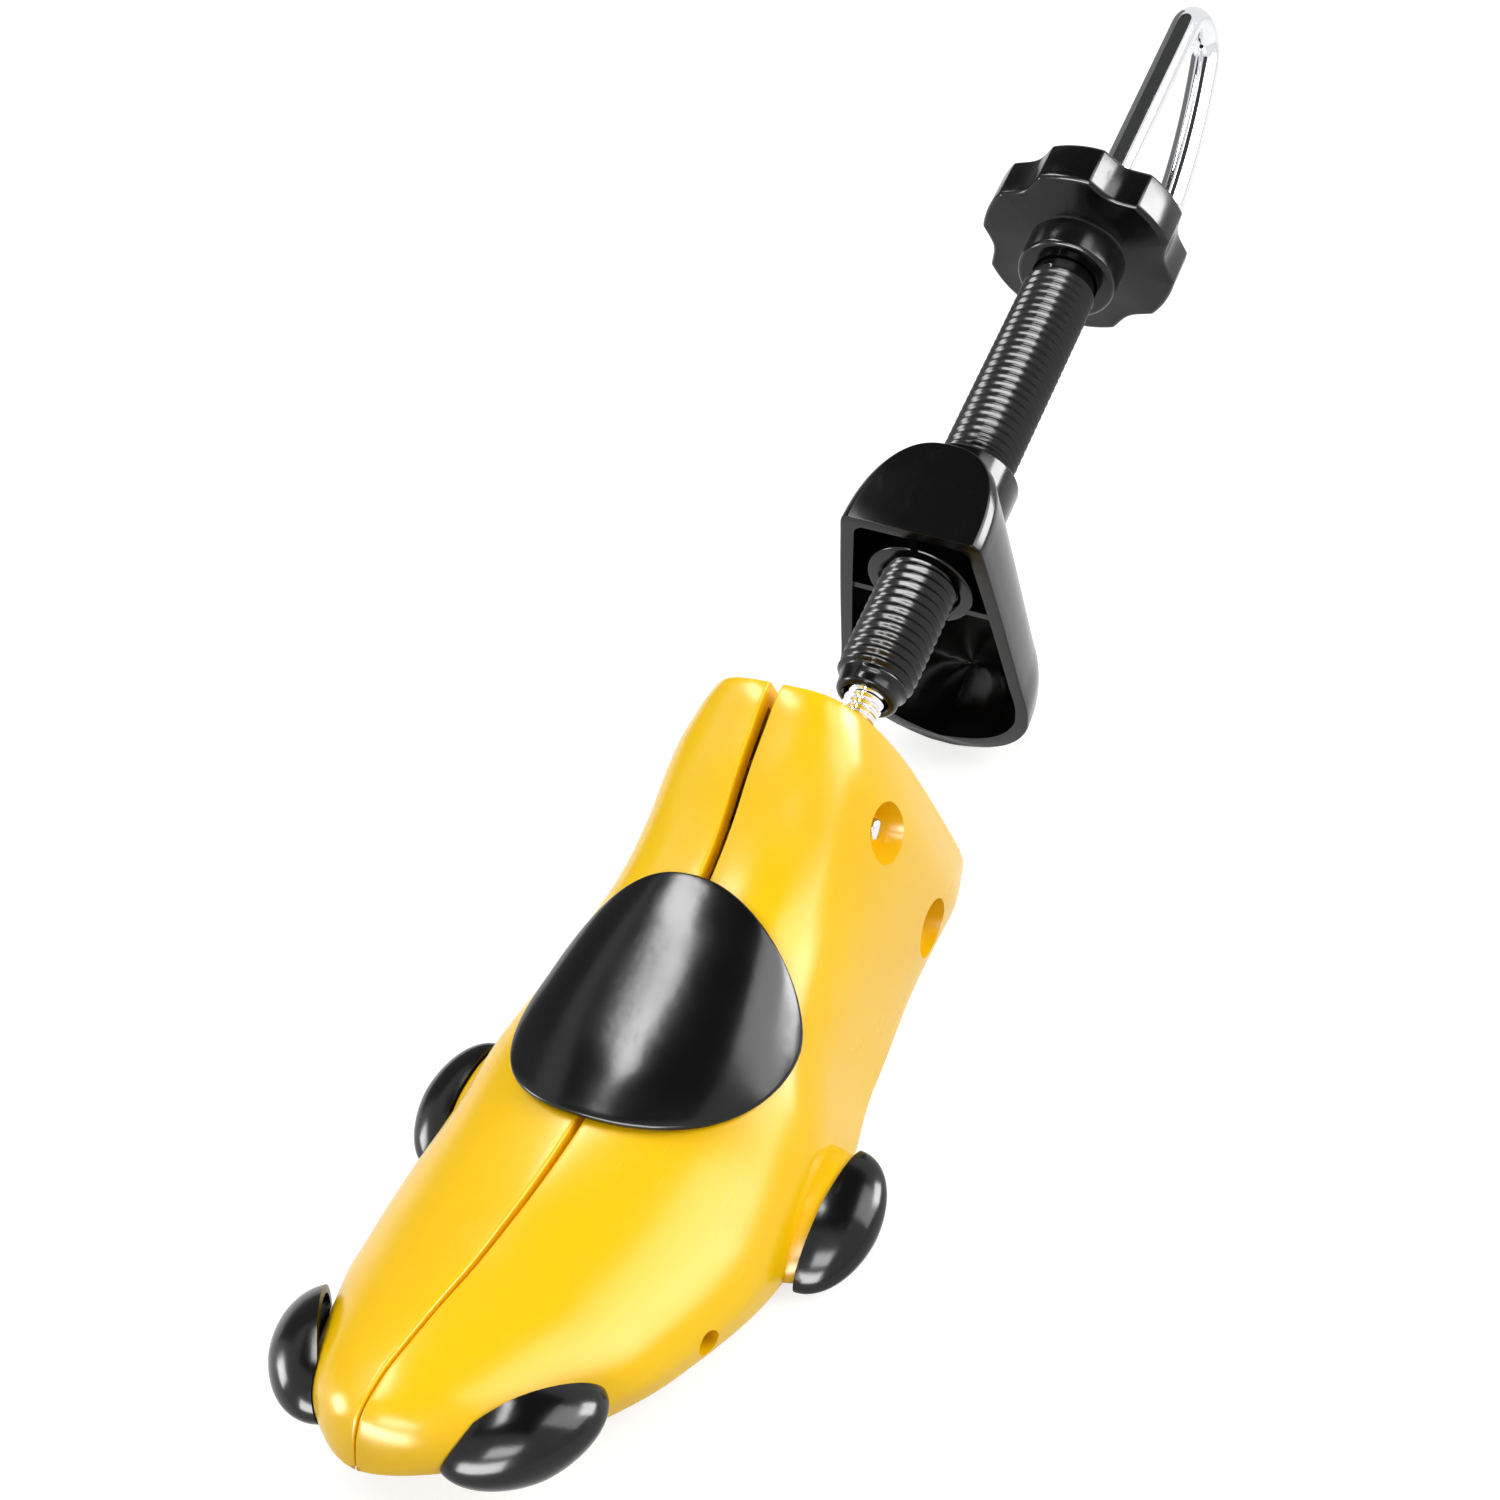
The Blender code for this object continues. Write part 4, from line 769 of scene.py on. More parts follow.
def helix(start, end, lead, sides, samples, height_of):
    """Return a thread's grid: row and column give a turn and a place that climbs by one lead in
    each turn, and the radius comes from the place and from a ridge that is half a raised cosine
    and half a straight rise and fall over the lead."""
    rows = int((end - start) / lead) * samples - samples + 1
    turn = circle(sides)
    row = np.arange(rows)[:, None]
    along = start + lead * (row / samples + turn / (2 * pi))
    part = row / samples % 1
    ridge = 0.25 - 0.25 * np.cos(2 * pi * part) + 0.5 - np.abs(part - 0.5)
    radius = height_of(along, ridge)
    return np.stack((radius * np.sin(turn), along, radius * np.cos(turn)), -1)


def threaded(name, before, thread, after, samples, joined=False):
    """Return one closed skin of rings, a thread's grid and more rings.

    Each row of the thread runs on into the row one lead further, so that a ridge is one helix,
    and a step of one lead closes the skin at either end of it.
    """
    sides = thread.shape[1]
    points = np.concatenate((before, thread, after)).reshape(-1, 3)
    first, count = len(before) * sides, len(thread)
    last = first + (count - 1) * sides
    here = np.arange(sides - 1)
    row = first + np.arange(count - 1)[:, None] * sides
    quads = np.stack((row + here, row + here + 1, row + here + 1 + sides, row + here + sides), -1)
    turn = first + np.arange(count - samples - 1) * sides
    over = turn + samples * sides
    seam = np.stack((turn + sides - 1, over, over + sides, turn + 2 * sides - 1), -1)
    faces = quads.reshape(-1, 4).tolist() + seam.tolist()
    for ring, edge in ((first - sides, first), (last + sides, last)):
        faces += np.stack((ring + here, ring + here + 1, edge + here + 1, edge + here), -1).tolist()
    steps = np.arange(samples + 1) * sides
    faces.append([first - 1, first - sides, *(first + steps), first + sides - 1])
    faces.append([last + 2 * sides - 1, last + sides, last, *(last + sides - 1 - steps[::-1])])
    total = len(points)
    plain = [*range(0, first - sides, sides), *range(last + sides, total - sides, sides)]
    if joined:
        plain.append(total - sides)
    faces += wrap(plain, sides, total)
    if not joined:
        faces += [list(range(sides)), list(range(total - sides, total))]
    return skin(name, points, faces)


def threaded_tube(screw):
    """Return the tube: a rounded thread on a root that draws in at the nose, a plain spigot that
    goes into the knob, and the bore that joins the two ends."""
    sides, samples = 72, 10
    turn = circle(sides)
    root = screw.tube_radius - screw.tube_depth
    spigot = screw.knob_front - KNOB_BOSS_REACH
    nose = screw.tube_nose
    start = nose + screw.tube_lead

    def height_of(along, share):
        """Grow the ridges from the nose, whose root is drawn in, to full depth."""
        grown = fade(along, start, spigot - 0.5 * screw.tube_lead, 1.4 * screw.tube_lead)
        drawn = NOSE_DRAW * np.clip(1 - (along - start) / (3 * screw.tube_lead), 0, 1) ** 2
        return root - drawn + screw.tube_depth * share * grown

    thread = helix(start, spigot, screw.tube_lead, sides, samples, height_of)
    steps, drops = rounding(NOSE_EDGE, 7)
    end = screw.knob_front + KNOB_RECESS - GAP
    before = np.concatenate((rings_of(nose + NOSE_CHAMFER, screw.tube_bore, turn),
                             rings_of(nose, screw.tube_bore + NOSE_CHAMFER, turn),
                             rings_of(nose + steps, (root - NOSE_DRAW - drops)[:, None], turn)))
    after = np.concatenate([rings_of(place, radius, turn) for place, radius in (
        (spigot, root), (spigot, SPIGOT_RADIUS), (end, SPIGOT_RADIUS), (end, screw.tube_bore))])
    return threaded("tube", before, thread, after, samples, joined=True)


def hook_path(screw, count=36):
    """Return points and headings of the rod's end: an arc that stops short of a half turn, then
    a free leg that goes on turning a little."""
    side = np.array((cos(screw.hook_plane), 0, sin(screw.hook_plane)))
    up = np.array((0.0, 1.0, 0.0))
    sweep = pi - screw.hook_splay
    turn = np.linspace(0, sweep, count)[:, None]
    arc = up * (screw.hook_rise + screw.hook_bend * np.sin(turn)) + side * screw.hook_bend * (
        1 - np.cos(turn))
    leg_turn = sweep + np.linspace(0, radians(HOOK_LEG_TURN), count)[:, None]
    heading = up * np.cos(leg_turn) + side * np.sin(leg_turn)
    middle = (heading[1:] + heading[:-1]) / 2
    leg = arc[-1] + np.cumsum(middle, axis=0) * screw.hook_leg / (count - 1)
    headings = np.concatenate((up * np.cos(turn) + side * np.sin(turn), heading[1:]))
    return np.concatenate((arc, leg)), headings, np.cross(side, up)


def spindle(screw):
    """Return the spindle: a neck, a rounded thread, a plain rod, and a hook whose circles stand
    square to its path. The free end is rounded off."""
    sides, samples = 48, 10
    turn = circle(sides)
    root, lead = screw.screw_radius - SCREW_DEPTH, screw.screw_lead
    shoulder = -SPREADER_FRONT + SPREADER_DEPTH + GAP

    def height_of(along, share):
        """Grow the ridges from the thread's start and let them die out at the plain rod."""
        return root + SCREW_DEPTH * share * fade(along, SCREW_START, SCREW_END, 2 * lead)

    thread = helix(SCREW_START, SCREW_END, lead, sides, samples, height_of)
    steps, drops = rounding(NECK_EDGE, 4)
    before = np.concatenate((rings_of(NECK_FRONT + steps, (NECK_RADIUS - drops)[:, None], turn),
                             rings_of(shoulder, NECK_RADIUS, turn),
                             rings_of(shoulder, root, turn)))
    plain = np.linspace(SCREW_END + 3 * lead, screw.hook_rise - 0.002, 40)
    straight = np.concatenate((rings_of(SCREW_END + 2 * lead, root, turn),
                               rings_of(plain, screw.rod_radius, turn)))
    points, headings, across = hook_path(screw)
    across = across / np.linalg.norm(across)
    steps = quarter(HOOK_TIP_EDGE, 6)
    tip = points[-1] + headings[-1] * steps[:, None] * HOOK_TIP_SHARE
    points = np.concatenate((points, tip[1:]))
    headings = np.concatenate((headings, np.repeat(headings[-1:], len(steps) - 1, 0)))
    inset = np.zeros(len(points))
    inset[1 - len(steps):] = edge_drop(HOOK_TIP_EDGE - steps[1:], HOOK_TIP_EDGE)
    radius = (screw.rod_radius - inset)[:, None, None]
    sideways = np.cross(headings, across)
    phase = turn[:, None] + screw.hook_plane
    rings = points[:, None, :] + radius * (across * np.cos(phase)
                                           + sideways[:, None, :] * np.sin(phase))
    last = straight[-1]
    rings = np.roll(rings, -np.argmin(np.linalg.norm(rings[0] - last, axis=1)), axis=1)
    if np.linalg.norm(rings[0][1] - last[1]) > np.linalg.norm(rings[0][-1] - last[1]):
        rings = np.roll(rings[:, ::-1], 1, axis=1)
    return threaded("spindle", before, thread, np.concatenate((straight, rings)), samples)


def knob_outline(screw, count=30):
    """Return angles and radii of the knob's outline: an arc on each lobe, and between two lobes
    a flute that falls in with a sine."""
    half_step = pi / (2 * KNOB_LOBES)
    part = np.arange(count) / count
    middle = screw.knob_phase - half_step - np.arange(KNOB_LOBES)[:, None] * pi / 3
    arc = middle + half_step * (1 - 2 * part)
    flute = middle - half_step * (1 + 2 * part)
    turn = np.concatenate((arc, flute), 1).ravel()
    depth = screw.knob_radius * KNOB_FLUTE_SHARE * np.sin(pi * part)
    radius = np.concatenate((np.full(count, screw.knob_radius), screw.knob_radius - depth))
    return turn, np.tile(radius, KNOB_LOBES)


def knob(screw):
    """Return the knob: one closed skin whose rings change from the boss's circle to the lobed
    outline and back to the recess, with a quarter circle at each outer edge."""
    turn, outline = knob_outline(screw)
    steps, drops = rounding(screw.knob_edge, 6)
    front, back = screw.knob_front, screw.knob_front + screw.knob_thickness
    start, floor = front - KNOB_BOSS_REACH, front + KNOB_RECESS
    boss, recess = KNOB_BOSS_RADIUS, KNOB_RECESS_RADIUS
    rows = [(start + KNOB_CHAMFER, KNOB_BORE), (start, KNOB_BORE + KNOB_CHAMFER)]
    rows += [(start + step, boss - drop) for step, drop in zip(steps, drops)]
    rows += [(front - ahead, boss + rise) for ahead, rise in KNOB_COVE]
    rows += [(front + step, outline - drop) for step, drop in zip(steps, drops)]
    rows += [(back - step, outline - drop) for step, drop in zip(steps[::-1], drops[::-1])]
    rows += [(back, recess + RECESS_CHAMFER), (back - RECESS_CHAMFER, recess),
             (floor, recess), (floor, KNOB_BORE)]
    rings = [np.stack((radius * np.cos(turn), np.full_like(turn, along), radius * np.sin(turn)), 1)
             for along, radius in rows]
    return solid("knob", np.stack(rings), joined=True)


def heel_drop(screw):
    """Return how far below the spindle the heel block reaches the table."""
    drop = CROSS_POINT.z + screw.heel_half_width
    front, place = screw.heel_front, np.array(on_spindle())
    for _ in range(6):
        rings = heel_rings(screw, 0.0, front, front + screw.heel_depth, drop)
        heights = (rings.reshape(-1, 3) @ place[:3, :3].T + place[:3, 3])[:, 2]
        drop -= (heights.min() - TABLE_GAP) / AXIS_FRONT.y
    return drop


def heel_rings(screw, inset, front, back, drop, edge=0.0):
    """Return the heel block's levels: each is straight across the front and a power curve of the
    sine and cosine behind, as wide as the outline says, with quarter circles at its edges."""
    top, bottom = screw.heel_top - inset, -(drop - inset)
    rows = [row[0] for row in HEEL_OUTLINE_SHARES]
    share = np.unique(np.concatenate((np.linspace(0, 1, 70), rows)))
    drawn = np.zeros_like(share)
    if edge:
        near = quarter(edge, 5) / (top - bottom)
        inner = share[(share > near[-1]) & (share < 1 - near[-1])]
        share = np.concatenate((near, inner, 1 - near[::-1]))
        drawn = edge_drop(np.minimum(share, 1 - share) * (top - bottom), edge)
    width = screw.heel_half_width * smooth_curve(HEEL_OUTLINE_SHARES, share) - inset - drawn
    depth = back - front
    start = np.arcsin(np.clip(quarter(edge, 5) / depth, 0, 1) ** (HEEL_POWER / 2))
    half = np.concatenate((start, np.linspace(start[-1], pi / 2, 26)[1:]))
    x, y = oval(np.concatenate((half, pi - half[-2::-1])), HEEL_POWER)
    y = depth * np.maximum(0.0, y)
    along = front + y - drawn[:, None] * (y / depth)
    across = (np.maximum(width, HEEL_LEAST_HALF_WIDTH)[:, None] * x
              - np.sign(x) * np.minimum(edge_drop(y, edge), np.abs(width[:, None] * x)))
    height = np.repeat((top - share * (top - bottom))[:, None], len(x), 1)
    rings = np.stack((across, along, height), -1)
    return rings @ np.array(Matrix.Rotation(screw.heel_roll, 3, "Y")).T


def rolled_box(screw, low, high):
    """Return a box that is turned with the heel block."""
    return set_as(box("rib", low, high), Matrix.Rotation(screw.heel_roll, 4, "Y"))


def heel_block(screw):
    """Return the hollow heel block with its hub, its ribs and the threaded bore."""
    front, back = screw.heel_front, screw.heel_front + screw.heel_depth
    drop = heel_drop(screw)
    block = solid("heel", heel_rings(screw, 0.0, front, back, drop, screw.heel_edge))
    hollow = solid("hollow", heel_rings(screw, screw.heel_wall, front - OVERRUN,
                                        back - screw.heel_wall, drop))
    hub_front, end = front + HUB_SINK, front + HEEL_BOSS_REACH
    steps, drops = rounding(HUB_EDGE, 5)
    profile = [(hub_front + step, HUB_RADIUS - fall) for step, fall in zip(steps, drops)]
    cut(hollow, turned("hub", profile + [(back + OVERRUN, HUB_RADIUS)]))
    cut(hollow, rolled_box(screw, (-RIB_HALF, hub_front, 0),
                           (RIB_HALF, back, screw.heel_top + OVERRUN)))
    cut(hollow, rolled_box(screw, (-screw.heel_half_width, hub_front, -RIB_DROP - RIB_HALF),
                           (screw.heel_half_width, back, -RIB_DROP + RIB_HALF)))
    cut(block, hollow)
    profile = [(front + screw.heel_depth / 2, HEEL_BOSS_RADIUS)]
    profile += [(end - step, HEEL_BOSS_RADIUS - fall)
                for step, fall in zip(steps[::-1], drops[::-1])]
    weld(block, turned("boss", profile))
    sides, samples, lead = 48, 6, screw.tube_lead
    bore = screw.tube_radius - screw.tube_depth + THREAD_GAP
    start = screw.tube_nose + lead * (int((front - screw.tube_nose) / lead) - 3)
    thread = helix(start, end + 5 * lead, lead, sides, samples,
                   lambda along, share: bore + screw.tube_depth * share)
    ends = [rings_of(place, bore, circle(sides)) for place in (start - 0.002, end + 6 * lead)]
    cut(block, threaded("tap", ends[0], thread, ends[1], samples))
    wide = screw.tube_radius + THREAD_GAP
    for place, way in ((hub_front, 1), (end, -1)):
        profile = ((place - way * OVERRUN, wide + OVERRUN / 2 + LIP_RISE),
                   (place, wide + LIP_RISE), (place + way * LIP_DEPTH, wide - LIP_FALL))
        cut(block, turned("lip", profile))
    return block


# Finishes

def node(tree, kind, place, **values):
    """Add a shader node, with its properties and its unlinked inputs set by name."""
    made = tree.nodes.new(kind)
    made.location = place
    for name, value in values.items():
        if hasattr(made, name):
            setattr(made, name, value)
        else:
            made.inputs[name.replace("_", " ").title()].default_value = value
    return made


def new_group(name, inputs, outputs):
    """Return an empty node group with a vector and values going in, and its two end nodes."""
    tree = bpy.data.node_groups.new(name, "ShaderNodeTree")
    tree.interface.new_socket(name="Vector", in_out="INPUT", socket_type="NodeSocketVector")
    for label, value in inputs.items():
        socket = tree.interface.new_socket(name=label, in_out="INPUT",
                                           socket_type="NodeSocketFloat")
        socket.default_value = value
    for label in outputs:
        tree.interface.new_socket(name=label, in_out="OUTPUT", socket_type="NodeSocketFloat")
    return tree, node(tree, "NodeGroupInput", (-900, 0)), node(tree, "NodeGroupOutput", (700, 0))


def mould_group():
    """Group for moulded plastic: a faint ripple, a slow drift of the gloss and of the tone."""
    tree, given, out = new_group("Moulded Surface", {"Ripple Scale": 160.0, "Drift Scale": 22.0},
                                 ("Ripple", "Gloss", "Tone"))
    ripple, grain, gloss, tone = (
        node(tree, "ShaderNodeTexNoise", (-600, 300 - 240 * row), **values)
        for row, values in enumerate((
            {"detail": 2.0, "roughness": 0.5}, {"scale": 2400.0, "detail": 1.0},
            {"scale": 75.0, "detail": 4.0, "roughness": 0.6}, {"detail": 1.0, "roughness": 0.4})))
    link = tree.links.new
    for texture in (ripple, grain, gloss, tone):
        link(given.outputs["Vector"], texture.inputs["Vector"])
    link(given.outputs["Ripple Scale"], ripple.inputs["Scale"])
    link(given.outputs["Drift Scale"], tone.inputs["Scale"])
    link(added(tree, (-300, 200), ripple.outputs["Fac"], grain.outputs["Fac"], 0.12),
         out.inputs["Ripple"])
    link(gloss.outputs["Fac"], out.inputs["Gloss"])
    link(tone.outputs["Fac"], out.inputs["Tone"])
    return tree


def rub_group():
    """Group for handling marks: thin stretched streaks, kept to scattered patches."""
    tree, given, out = new_group("Rub Marks", {"Fineness": 900.0, "Cover": 0.5}, ("Marks",))
    link = tree.links.new
    most = node(tree, "ShaderNodeMath", (-80, 120), operation="MAXIMUM")
    for row, turn in enumerate((0.5, 2.2)):
        level = 300 - 350 * row
        mapping = node(tree, "ShaderNodeMapping", (-700, level))
        mapping.inputs["Rotation"].default_value = (turn, 0.3 * turn, turn)
        mapping.inputs["Scale"].default_value = (1.0, 0.03, 1.0)
        noise = node(tree, "ShaderNodeTexNoise", (-500, level), detail=1.0)
        link(given.outputs["Vector"], mapping.inputs["Vector"])
        link(mapping.outputs["Vector"], noise.inputs["Vector"])
        link(given.outputs["Fineness"], noise.inputs["Scale"])
        link(ranged(tree, (-300, level), noise.outputs["Fac"], 0.64, 0.74, 0.0, 1.0),
             most.inputs[row])
    patch = node(tree, "ShaderNodeTexNoise", (-500, -420), scale=45.0, detail=3.0)
    inside = node(tree, "ShaderNodeMapRange", (-300, -420))
    inside.inputs["From Max"].default_value = 0.8
    kept = node(tree, "ShaderNodeMath", (140, 0), operation="MULTIPLY")
    link(given.outputs["Vector"], patch.inputs["Vector"])
    link(given.outputs["Cover"], inside.inputs["From Min"])
    link(patch.outputs["Fac"], inside.inputs["Value"])
    link(most.outputs["Value"], kept.inputs[0])
    link(inside.outputs["Result"], kept.inputs[1])
    link(kept.outputs["Value"], out.inputs["Marks"])
    return tree


def placed_group(tree, name, build, place, coordinates, **values):
    """Place a node group, made when it is first asked for, in a material and set its values."""
    made = node(tree, "ShaderNodeGroup", place)
    made.node_tree = bpy.data.node_groups.get(name) or build()
    tree.links.new(coordinates, made.inputs["Vector"])
    for label, value in values.items():
        made.inputs[label.replace("_", " ")].default_value = value
    return made.outputs


def ranged(tree, place, value, low, high, least, most):
    """Return a value carried from one range to another, clamped at its ends."""
    change = node(tree, "ShaderNodeMapRange", place)
    for label, number in (("From Min", low), ("From Max", high), ("To Min", least),
                          ("To Max", most)):
        change.inputs[label].default_value = number
    tree.links.new(value, change.inputs["Value"])
    return change.outputs["Result"]


def added(tree, place, first, second, share):
    """Return the first value plus a share of the second."""
    total = node(tree, "ShaderNodeMath", place, operation="MULTIPLY_ADD")
    total.inputs[1].default_value = share
    tree.links.new(second, total.inputs[0])
    tree.links.new(first, total.inputs[2])
    return total.outputs["Value"]


# Of each finish: its colour, the second colour and what that is multiplied by, the pattern that
# goes from one to the other with its range and the most of the second, the range of roughness,
# what rub marks add to it, their fineness and cover, the ripple's scale and its depth in metres
FINISHES = {
    # Glossy yellow moulding, a little deeper in tone in slow patches, with faint rub marks
    "yellow_plastic": {
        "colours": ("yellow", "deep_yellow", 1.0), "pattern": ("Tone", 0.35, 0.75, 0.55),
        "roughness": (0.21, 0.27), "rubbed": 0.12, "marks": (900.0, 0.52),
        "ripple": (160.0, 0.00003), "metallic": 0.0, "specular": 0.34},
    # Glossy black moulding, with a slight drift of its gloss and fine handling marks
    "black_plastic": {
        "colours": ("black", "black", 6.0), "pattern": ("Marks", 0.0, 1.0, 0.25),
        "roughness": (0.15, 0.21), "rubbed": 0.12, "marks": (900.0, 0.48),
        "ripple": (210.0, 0.00003), "metallic": 0.0, "specular": 0.34},
    # Bright plating over drawn steel, with a soft unevenness and fine rub marks
    "chrome": {
        "colours": ("chrome", "chrome", 0.86), "pattern": ("Tone", 0.3, 0.7, 0.5),
        "roughness": (0.03, 0.06), "rubbed": 0.12, "marks": (1500.0, 0.4),
        "ripple": (300.0, 0.000015), "metallic": 1.0, "specular": 0.5},
    # Plain machined steel, mottled in tone and gloss
    "dark_steel": {
        "colours": ("steel", "steel", 1.5), "pattern": ("Gloss", 0.3, 0.7, 1.0),
        "roughness": (0.30, 0.45), "rubbed": 0.2, "marks": (1200.0, 0.3),
        "ripple": (500.0, 0.00003), "metallic": 1.0, "specular": 0.5},
}


def finish_material(name):
    """Return a finish, made when it is first asked for, from its row of the table."""
    made = bpy.data.materials.get(name + "_fine")
    return made or new_finish(name + "_fine", bpy.context.scene.stretcher_finish,
                              **FINISHES[name])


def new_finish(name, tints, colours, pattern, roughness, rubbed, marks, ripple, metallic, specular):
    """Make a finish on Object coordinates: two tones, a drift of the gloss, rub marks, a ripple."""
    material = bpy.data.materials.new(name)
    material.use_nodes = True
    tree = material.node_tree
    shader = tree.nodes["Principled BSDF"]
    shader.location = (500, 0)
    tree.nodes["Material Output"].location = (800, 0)
    coordinates = node(tree, "ShaderNodeTexCoord", (-1100, 0)).outputs["Object"]
    mould = placed_group(tree, "Moulded Surface", mould_group, (-800, 100), coordinates,
                         Ripple_Scale=ripple[0])
    rub = placed_group(tree, "Rub Marks", rub_group, (-800, -300), coordinates,
                       Fineness=marks[0], Cover=marks[1])
    base, second, factor = colours
    blend = node(tree, "ShaderNodeMix", (0, 200), data_type="RGBA")
    blend.inputs[6].default_value = (*getattr(tints, base), 1.0)
    blend.inputs[7].default_value = (*(value * factor for value in getattr(tints, second)), 1.0)
    label, low, high, most = pattern
    source = (rub if label == "Marks" else mould)[label]
    link = tree.links.new
    link(ranged(tree, (-500, 200), source, low, high, 0.0, most), blend.inputs["Factor"])
    link(blend.outputs[2], shader.inputs["Base Color"])
    gloss = ranged(tree, (-500, -50), mould["Gloss"], 0.3, 0.7, *roughness)
    link(added(tree, (0, -50), gloss, rub["Marks"], rubbed), shader.inputs["Roughness"])
    shader.inputs["Metallic"].default_value = metallic
    shader.inputs["Specular IOR Level"].default_value = specular
    bump = node(tree, "ShaderNodeBump", (250, -350), distance=ripple[1])
    bump.inputs["Strength"].default_value = 1.0
    link(mould["Ripple"], bump.inputs["Height"])
    link(bump.outputs["Normal"], shader.inputs["Normal"])
    return material


def dress(name, finish_name):
    """Give a solid that stays as it is its finish."""
    for slot in frame["nodes"][name].material_slots:
        slot.material = finish_material(finish_name)


# Operators

class STRETCHER_OT_toe_block(Operator):
    """Build both halves of the split toe block"""

    bl_idname = "stretcher.toe_block"
    bl_label = "Toe Block"

    def execute(self, context):
        right = toe_half(context.scene.stretcher_toe)
        left = mirrored(right)
        for thing, side in ((right, "right"), (left, "left")):
            deliver(thing, "toe_block_" + side, STAND, "toe_" + side, "toe_half_" + side,
                    "yellow_plastic")
        return {"FINISHED"}


class STRETCHER_OT_plugs(Operator):
    """Build the four bunion plugs"""

    bl_idname = "stretcher.plugs"
    bl_label = "Bunion Plugs"

    def execute(self, context):
        toe = context.scene.stretcher_toe
        for word, seat, half_height in (("front", FRONT_SEAT, toe.front_plug),
                                        ("rear", REAR_SEAT, toe.rear_plug)):
            right = bunion_plug(toe, seat, half_height)
            left = mirrored(right)
            for thing, side in ((right, "right"), (left, "left")):
                deliver(thing, "plug_" + word + "_" + side, STAND, "toe_" + side,
                        "bunion_plug_" + word + "_" + side, "black_plastic")
        return {"FINISHED"}


class STRETCHER_OT_pad(Operator):
    """Build the instep pad"""

    bl_idname = "stretcher.pad"
    bl_label = "Instep Pad"

    def execute(self, context):
        deliver(instep_pad(context.scene.stretcher_toe), "saddle_pad", STAND, "pad",
                "instep_pad", "black_plastic")
        return {"FINISHED"}


class STRETCHER_OT_hinge(Operator):
    """Build the cross pins and finish the hinge block, the spreader and its posts"""

    bl_idname = "stretcher.hinge"
    bl_label = "Hinge and Spreader"

    def execute(self, context):
        for word, rise in (("upper", PIN_RISE), ("lower", -PIN_DROP)):
            pin = rounded_rod("pin", -PIN_HALF_LENGTH, PIN_HALF_LENGTH, PIN_RADIUS, PIN_EDGE)
            deliver(pin, "cross_pin_" + word, AXIS @ outwards((0, PIN_BACK, rise)),
                    "hinge_block", word + "_pin", "chrome")
        for name in ("hinge_block", "spreader", "retaining_ring"):
            dress(name, "dark_steel")
        for name in ("spreader_post_right", "spreader_post_left"):
            dress(name, "chrome")
        return {"FINISHED"}


class STRETCHER_OT_spindle(Operator):
    """Build the spindle with its screw and its hook"""

    bl_idname = "stretcher.spindle"
    bl_label = "Hooked Spindle"

    def execute(self, context):
        deliver(spindle(context.scene.stretcher_screw), "hooked_spindle", AXIS, "spindle",
                "spindle", "chrome")
        return {"FINISHED"}


class STRETCHER_OT_knob(Operator):
    """Build the threaded tube, the knob, its cap and the collar behind it"""

    bl_idname = "stretcher.knob"
    bl_label = "Tube and Knob"

    def execute(self, context):
        screw = context.scene.stretcher_screw
        deliver(threaded_tube(screw), "screw_tube", AXIS, "knob", "threaded_tube",
                "black_plastic")
        deliver(knob(screw), "hand_knob", AXIS, "knob", "knob", "black_plastic")
        ring = collar("ring", screw.knob_front + COLLAR_PLACE, COLLAR_LENGTH, COLLAR_RADIUS,
                      screw.rod_radius + GAP)
        deliver(ring, "rear_collar", AXIS, "spindle", "thrust_collar", "dark_steel")
        cap = collar("cap", screw.knob_front + CAP_PLACE, CAP_LENGTH, CAP_RADIUS,
                     screw.rod_radius + RUNNING_GAP)
        deliver(cap, "rear_cap", AXIS, "knob", "knob_cap", "black_plastic")
        return {"FINISHED"}


class STRETCHER_OT_heel(Operator):
    """Build the hollow heel block"""

    bl_idname = "stretcher.heel"
    bl_label = "Heel Block"

    def execute(self, context):
        deliver(heel_block(context.scene.stretcher_screw), "travelling_heel", AXIS, "heel",
                "heel_block", "black_plastic")
        return {"FINISHED"}


# Stage

CAMERA_PLACE = Vector((0.1714, -0.3241018, 0.2694))
CAMERA_RIGHT = Vector((0.8747, 0.4709, -0.1144))
CAMERA_AHEAD = Vector((-0.4495, 0.7003, -0.5546))
AIM = Vector((0.0, -0.04, 0.03))
FILL, WHITE = 0.34, 1.0
FLOOR_TONE, FLOOR_GLOW = 0.40, 0.76
FLOOR_SIDE, FLOOR_LEVEL = 5.0, -0.0003
